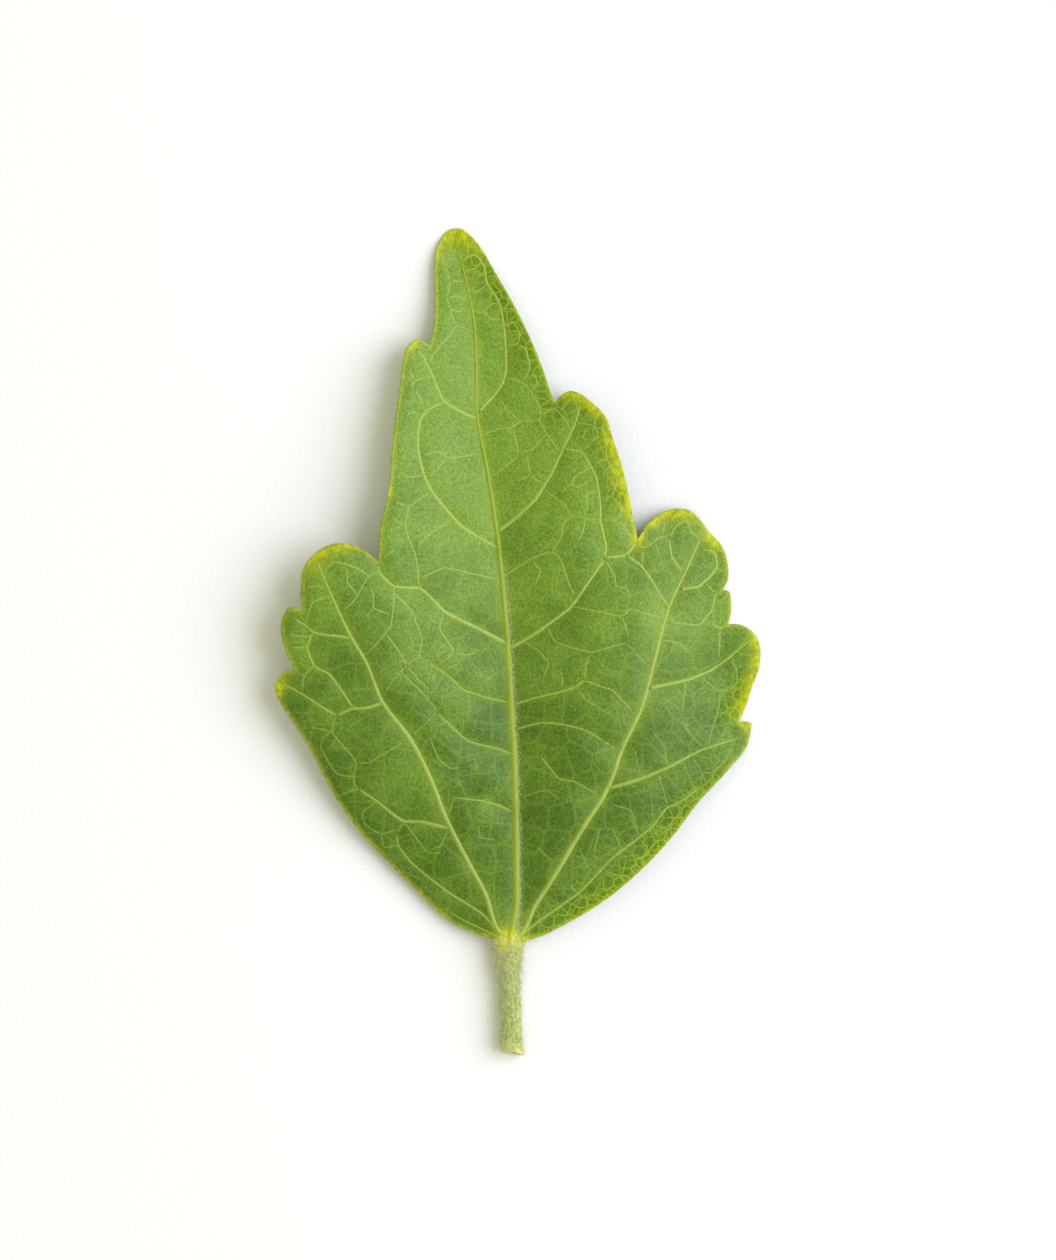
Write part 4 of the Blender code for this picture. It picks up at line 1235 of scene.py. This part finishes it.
def tissue_group():
    """Colour and fine height of the leaf's tissue, from place and mesh attributes.

    Cloudy greens, darker where shade is painted along the left margins, then two sizes
    of vein meshes, yellow near the margin and the stalk's joint, with painted glow on the
    margin's thin rim, and the paler lower face.
    """
    if "leaf_tissue" in bpy.data.node_groups:
        return bpy.data.node_groups["leaf_tissue"]
    sizes, colours = bpy.context.scene.leaf_sizes, bpy.context.scene.leaf_colours
    tree = bpy.data.node_groups.new("leaf_tissue", "ShaderNodeTree")
    tree.interface.new_socket("Colour", in_out="OUTPUT", socket_type="NodeSocketColor")
    tree.interface.new_socket("Height", in_out="OUTPUT", socket_type="NodeSocketFloat")
    place = millimetre_place(tree)
    meshed = attribute(tree, "meshed")
    cloud = 0.28
    clouds = smooth_range(tree, noise(tree, place, 0.35, 4.0).outputs["Fac"],
                          0.3, 0.7, -cloud, cloud)
    # The paleness also holds painted shade along the curled-down left margin.
    pale = calculate(tree, "ADD", attribute(tree, "tone_and_shade"), clouds)
    green = mix_colour(tree, pale, solid_colour(colours.green), solid_colour(colours.light_green))
    deep = calculate(tree, "MULTIPLY", smooth_range(tree, meshed, 0.35, 0.95), 0.85)
    green = mix_colour(tree, deep, green, solid_colour(colours.deep_green))
    size = sizes.mesh_size / MM
    wide_size, wide_line, fine_line = 2.7 * size, 0.15, 0.075
    wide = mesh_lines(tree, warped(tree, place, 0.22, 0.9), wide_size, wide_line)
    fine = mesh_lines(tree, warped(tree, place, 0.15, 2.0), size, fine_line)
    wide_share = calculate(tree, "MULTIPLY", wide, smooth_range(tree, meshed, 0.1, 0.9, 0.26, 0.35))
    fine_share = calculate(tree, "MULTIPLY", fine, smooth_range(tree, meshed, 0.1, 0.9, 0.13, 0.86))
    net = calculate(tree, "MAXIMUM", wide_share, fine_share)
    patches = smooth_range(tree, noise(tree, place, 0.75, 2.0).outputs["Fac"], 0.62, 0.76, 0.0, 0.28)
    green = mix_colour(tree, patches, green, solid_colour(colours.mesh))
    darkest, lightest = 0.70, 1.31
    grain = noise(tree, place, 6.5, 2.0, 0.75).outputs["Fac"]
    shade = smooth_range(tree, grain, 0.30, 0.70, darkest, lightest)
    green = add_node(tree, "ShaderNodeVectorMath", {0: green, 3: shade}, operation="SCALE").outputs[0]
    line = mix_colour(tree, smooth_range(tree, meshed, 0.45, 0.9, 0.0, 0.5),
                      solid_colour(colours.mesh), solid_colour(colours.yellow))
    colour = mix_colour(tree, net, green, line)
    halo_share, net_below, paler_below = 0.30, 0.6, 0.8
    halo = calculate(tree, "MULTIPLY", attribute(tree, "beside_vein"), halo_share)
    colour = mix_colour(tree, halo, colour, solid_colour(colours.vein))
    rough_yellow = calculate(tree, "MULTIPLY", attribute(tree, "yellow"),
                             smooth_range(tree, noise(tree, place, 2.4, 3.0).outputs["Fac"],
                                          0.35, 0.65, 0.40, 1.05))
    colour = mix_colour(tree, calculate(tree, "MINIMUM", rough_yellow, 1.0), colour,
                        solid_colour(colours.yellow))
    below = mix_colour(tree, calculate(tree, "MULTIPLY", net, net_below),
                       solid_colour(colours.underside), solid_colour(colours.vein))
    lower = calculate(tree, "MULTIPLY", attribute(tree, "lower_face"), paler_below)
    colour = mix_colour(tree, lower, colour, below)
    colour = mix_colour(tree, attribute(tree, "joint"), colour, solid_colour(colours.yellow))
    pebbles = add_node(tree, "ShaderNodeTexVoronoi", {"Vector": place, "Scale": 4.5},
                       voronoi_dimensions="2D", feature="F1").outputs["Distance"]
    net_depth, pebble_depth, grain_depth = -0.8, -0.35, 0.35
    height = calculate(tree, "MULTIPLY_ADD", net, net_depth, 1.0)
    height = calculate(tree, "MULTIPLY_ADD", pebbles, pebble_depth, height)
    height = calculate(tree, "MULTIPLY_ADD", grain, grain_depth, height)
    out = tree.nodes.new("NodeGroupOutput")
    tree.links.new(colour, out.inputs["Colour"])
    tree.links.new(height, out.inputs["Height"])
    return tree


def new_material(name):
    """An empty node material."""
    material = bpy.data.materials.new(name)
    material.use_nodes = True
    material.node_tree.nodes.clear()
    return material


def leaf_material(name, vein_strength=0.0, paleness=0.0, near_stalk=1.0):
    """Leaf tissue; on veins it turns to the vein's colour away from the vein's edges.

    Towards the stalk the vein is pale by at least 0.3, elsewhere by paleness, and only
    the share near_stalk of its strength is left there.
    """
    colours = bpy.context.scene.leaf_colours
    material = new_material(name)
    tree = material.node_tree
    tissue = add_node(tree, "ShaderNodeGroup", node_tree=tissue_group())
    colour = tissue.outputs["Colour"]
    if vein_strength:
        place = millimetre_place(tree)
        streaks = noise(tree, place, 2.5, 3.0).outputs["Fac"]
        faintest = 0.75 * vein_strength
        cover = smooth_range(tree, attribute(tree, "across"), 0.0, 0.95)
        cover = calculate(tree, "MULTIPLY", cover,
                          smooth_range(tree, streaks, 0.25, 0.7, faintest, vein_strength))
        cover = calculate(tree, "MULTIPLY", cover,
                          smooth_range(tree, attribute(tree, "tone_and_shade"), 0.0, 0.8, near_stalk, 1.0))
        least_pale = max(0.3, paleness)
        fading = smooth_range(tree, attribute(tree, "tone_and_shade"), 0.3, 0.8, least_pale, paleness)
        vein = mix_colour(tree, fading, solid_colour(colours.vein), solid_colour(colours.pale_vein))
        vein = mix_colour(tree, attribute(tree, "joint"), vein, solid_colour(colours.yellow))
        colour = mix_colour(tree, cover, colour, vein)
    smoothest, roughest = 0.48, 0.80
    roughness = smooth_range(tree, attribute(tree, "meshed"), 0.3, 0.9, smoothest, roughest)
    bump = add_node(tree, "ShaderNodeBump", {"Strength": 0.8, "Distance": 0.055 * MM,
                                             "Height": tissue.outputs["Height"]})
    skin = add_node(tree, "ShaderNodeBsdfPrincipled", {
        "Base Color": colour, "Roughness": roughness, "Specular IOR Level": 0.28,
        "Sheen Weight": 0.04, "Sheen Roughness": 0.45, "Normal": bump.outputs[0],
    })
    add_node(tree, "ShaderNodeOutputMaterial", {0: skin.outputs[0]})
    return material


def stalk_material():
    """Skin of the stalk: long streaks of olive, yellow at the joint, pith at the cut."""
    colours = bpy.context.scene.leaf_colours
    material = new_material("stalk_skin")
    tree = material.node_tree
    place = millimetre_place(tree)
    drawn = add_node(tree, "ShaderNodeMapping", {0: place, 3: (3.0, 1.2, 3.0)}).outputs[0]
    streaks = noise(tree, drawn, 1.0, 4.0, 0.7).outputs["Fac"]
    mottle = noise(tree, place, 4.5, 4.0, 0.7).outputs["Fac"]
    colour = mix_colour(tree, smooth_range(tree, streaks, 0.35, 0.68), solid_colour(colours.stalk_shade),
                        solid_colour(colours.stalk))
    colour = mix_colour(tree, attribute(tree, "joint"), colour, solid_colour(colours.yellow))
    colour = mix_colour(tree, smooth_range(tree, mottle, 0.50, 0.66, 0.0, 0.55), colour,
                        solid_colour(colours.hair))
    colour = mix_colour(tree, attribute(tree, "cut"), colour, solid_colour(colours.pith))
    height = calculate(tree, "ADD", streaks, mottle)
    bump = add_node(tree, "ShaderNodeBump", {"Strength": 0.6, "Distance": 0.05 * MM, "Height": height})
    skin = add_node(tree, "ShaderNodeBsdfPrincipled", {
        "Base Color": colour, "Roughness": 0.62, "Specular IOR Level": 0.35,
        "Sheen Weight": 0.25, "Sheen Roughness": 0.5, "Normal": bump.outputs[0],
    })
    add_node(tree, "ShaderNodeOutputMaterial", {0: skin.outputs[0]})
    return material


def hair_material():
    """Pale hairs that differ a little along the leaf."""
    if "leaf_hair" in bpy.data.materials:
        return bpy.data.materials["leaf_hair"]
    colours = bpy.context.scene.leaf_colours
    material = new_material("leaf_hair")
    tree = material.node_tree
    place = millimetre_place(tree)
    tint = noise(tree, place, 1.8, 2.0).outputs["Fac"]
    colour = mix_colour(tree, smooth_range(tree, tint, 0.35, 0.65, 0.0, 0.35),
                        solid_colour(colours.hair), solid_colour(colours.stalk))
    skin = add_node(tree, "ShaderNodeBsdfPrincipled", {
        "Base Color": colour, "Roughness": 0.45, "Specular IOR Level": 0.5,
    })
    add_node(tree, "ShaderNodeOutputMaterial", {0: skin.outputs[0]})
    return material


def paper_material():
    """Pale matt paper with a faint tooth."""
    material = new_material("pale_paper")
    tree = material.node_tree
    place = millimetre_place(tree)
    tooth = noise(tree, place, 2.4, 4.0, 0.6).outputs["Fac"]
    bump = add_node(tree, "ShaderNodeBump", {"Strength": 0.4, "Distance": 0.08 * MM, "Height": tooth})
    skin = add_node(tree, "ShaderNodeBsdfPrincipled", {
        "Base Color": solid_colour(bpy.context.scene.leaf_stage.floor_colour), "Roughness": 0.9,
        "Specular IOR Level": 0.1, "Normal": bump.outputs[0],
    })
    add_node(tree, "ShaderNodeOutputMaterial", {0: skin.outputs[0]})
    return material


# ---------------------------------------------------------------- the stage


def build_floor():
    """A large flat square to lie on."""
    half = 4.0
    mesh = bpy.data.meshes.new("floor")
    corners = [(-half, -half, 0.0), (half, -half, 0.0), (half, half, 0.0), (-half, half, 0.0)]
    mesh.from_pydata(corners, [], [(0, 1, 2, 3)])
    mesh.materials.append(paper_material())
    floor = bpy.data.objects.new("floor", mesh)
    bpy.context.scene.collection.objects.link(floor)


def build_lights():
    """A large soft cool window light from the right, and even warm light all around."""
    stage = bpy.context.scene.leaf_stage
    distance, size = 0.6, 0.60
    turn = math.radians(8)
    cool, warm = (0.94, 0.98, 1.26), (1.0, 0.985, 0.745, 1.0)
    window = bpy.data.lights.new("window", "AREA")
    window.shape = "DISK"
    window.size = size
    window.energy = stage.window
    window.color = cool
    lamp = bpy.data.objects.new("window", window)
    high = stage.window_height
    away = distance * math.cos(high)
    lamp.location = (away * math.cos(turn), away * math.sin(turn), distance * math.sin(high))
    lamp.rotation_euler = (-lamp.location).to_track_quat("-Z", "Y").to_euler()
    bpy.context.scene.collection.objects.link(lamp)
    world = bpy.data.worlds.new("room")
    world.use_nodes = True
    shade = world.node_tree.nodes["Background"]
    shade.inputs["Color"].default_value = warm
    shade.inputs["Strength"].default_value = stage.room
    bpy.context.scene.world = world


def build_camera():
    """A camera that looks straight down, a little right of and above the leaf's middle."""
    stage = bpy.context.scene.leaf_stage
    low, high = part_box(NODE)
    aside, ahead = 0.68 * MM, 0.82 * MM
    camera = bpy.data.cameras.new("camera")
    camera.lens = stage.lens
    camera.sensor_width = 36.0
    camera.clip_start = 0.01
    viewer = bpy.data.objects.new("camera", camera)
    viewer.location = ((low.x + high.x) / 2 + aside, (low.y + high.y) / 2 + ahead,
                       stage.camera_height)
    bpy.context.scene.collection.objects.link(viewer)
    bpy.context.scene.camera = viewer
    bpy.context.scene.view_settings.view_transform = "Standard"


# ---------------------------------------------------------------- the add-on


class LEAF_OT_blade(bpy.types.Operator):
    """Build the blade"""

    bl_idname = "leaf.blade"
    bl_label = "Blade"

    def execute(self, context):
        build_blade()
        return {"FINISHED"}


class LEAF_OT_veins(bpy.types.Operator):
    """Build the midrib, the side veins, their branches and the meshes between them"""

    bl_idname = "leaf.veins"
    bl_label = "Veins"

    def execute(self, context):
        build_main_veins()
        build_branches()
        build_meshes()
        return {"FINISHED"}


class LEAF_OT_stalk(bpy.types.Operator):
    """Build the stalk with its slanted cut"""

    bl_idname = "leaf.stalk"
    bl_label = "Stalk"

    def execute(self, context):
        build_stalk()
        return {"FINISHED"}


class LEAF_OT_hairs(bpy.types.Operator):
    """Build the hairs on the stalk and along the veins"""

    bl_idname = "leaf.hairs"
    bl_label = "Hairs"

    def execute(self, context):
        build_stalk_hairs()
        build_vein_hairs()
        return {"FINISHED"}


class LEAF_OT_stage(bpy.types.Operator):
    """Build the floor, the lights and the camera"""

    bl_idname = "leaf.stage"
    bl_label = "Stage"

    def execute(self, context):
        build_floor()
        build_lights()
        build_camera()
        return {"FINISHED"}


class LEAF_PT_panel(bpy.types.Panel):
    """Lists the leaf's sizes, colours and operators"""

    bl_label = "Leaf"
    bl_idname = "LEAF_PT_panel"
    bl_space_type = "VIEW_3D"
    bl_region_type = "UI"
    bl_category = "Leaf"

    def draw(self, context):
        scene = context.scene
        for settings in (scene.leaf_sizes, scene.leaf_colours, scene.leaf_stage):
            box = self.layout.box()
            for label in settings.__annotations__:
                box.prop(settings, label)
        for operator in OPERATORS:
            self.layout.operator(operator.bl_idname)


OPERATORS = (LEAF_OT_blade, LEAF_OT_veins, LEAF_OT_stalk, LEAF_OT_hairs, LEAF_OT_stage)
SETTINGS = (LeafSizes, LeafColours, StageSettings)


def register():
    """Register the add-on's classes and settings."""
    for made in (*SETTINGS, *OPERATORS, LEAF_PT_panel):
        bpy.utils.register_class(made)
    bpy.types.Scene.leaf_sizes = bpy.props.PointerProperty(type=LeafSizes)
    bpy.types.Scene.leaf_colours = bpy.props.PointerProperty(type=LeafColours)
    bpy.types.Scene.leaf_stage = bpy.props.PointerProperty(type=StageSettings)


def unregister():
    """Take the add-on's classes and settings away again."""
    del bpy.types.Scene.leaf_sizes
    del bpy.types.Scene.leaf_colours
    del bpy.types.Scene.leaf_stage
    for made in (LEAF_PT_panel, *OPERATORS, *SETTINGS):
        bpy.utils.unregister_class(made)


def main():
    """Build the leaf and its stage."""
    register()
    bpy.ops.leaf.blade()
    bpy.ops.leaf.veins()
    bpy.ops.leaf.stalk()
    bpy.ops.leaf.hairs()
    bpy.ops.leaf.stage()
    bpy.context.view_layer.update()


if __name__ == "__main__":
    main()
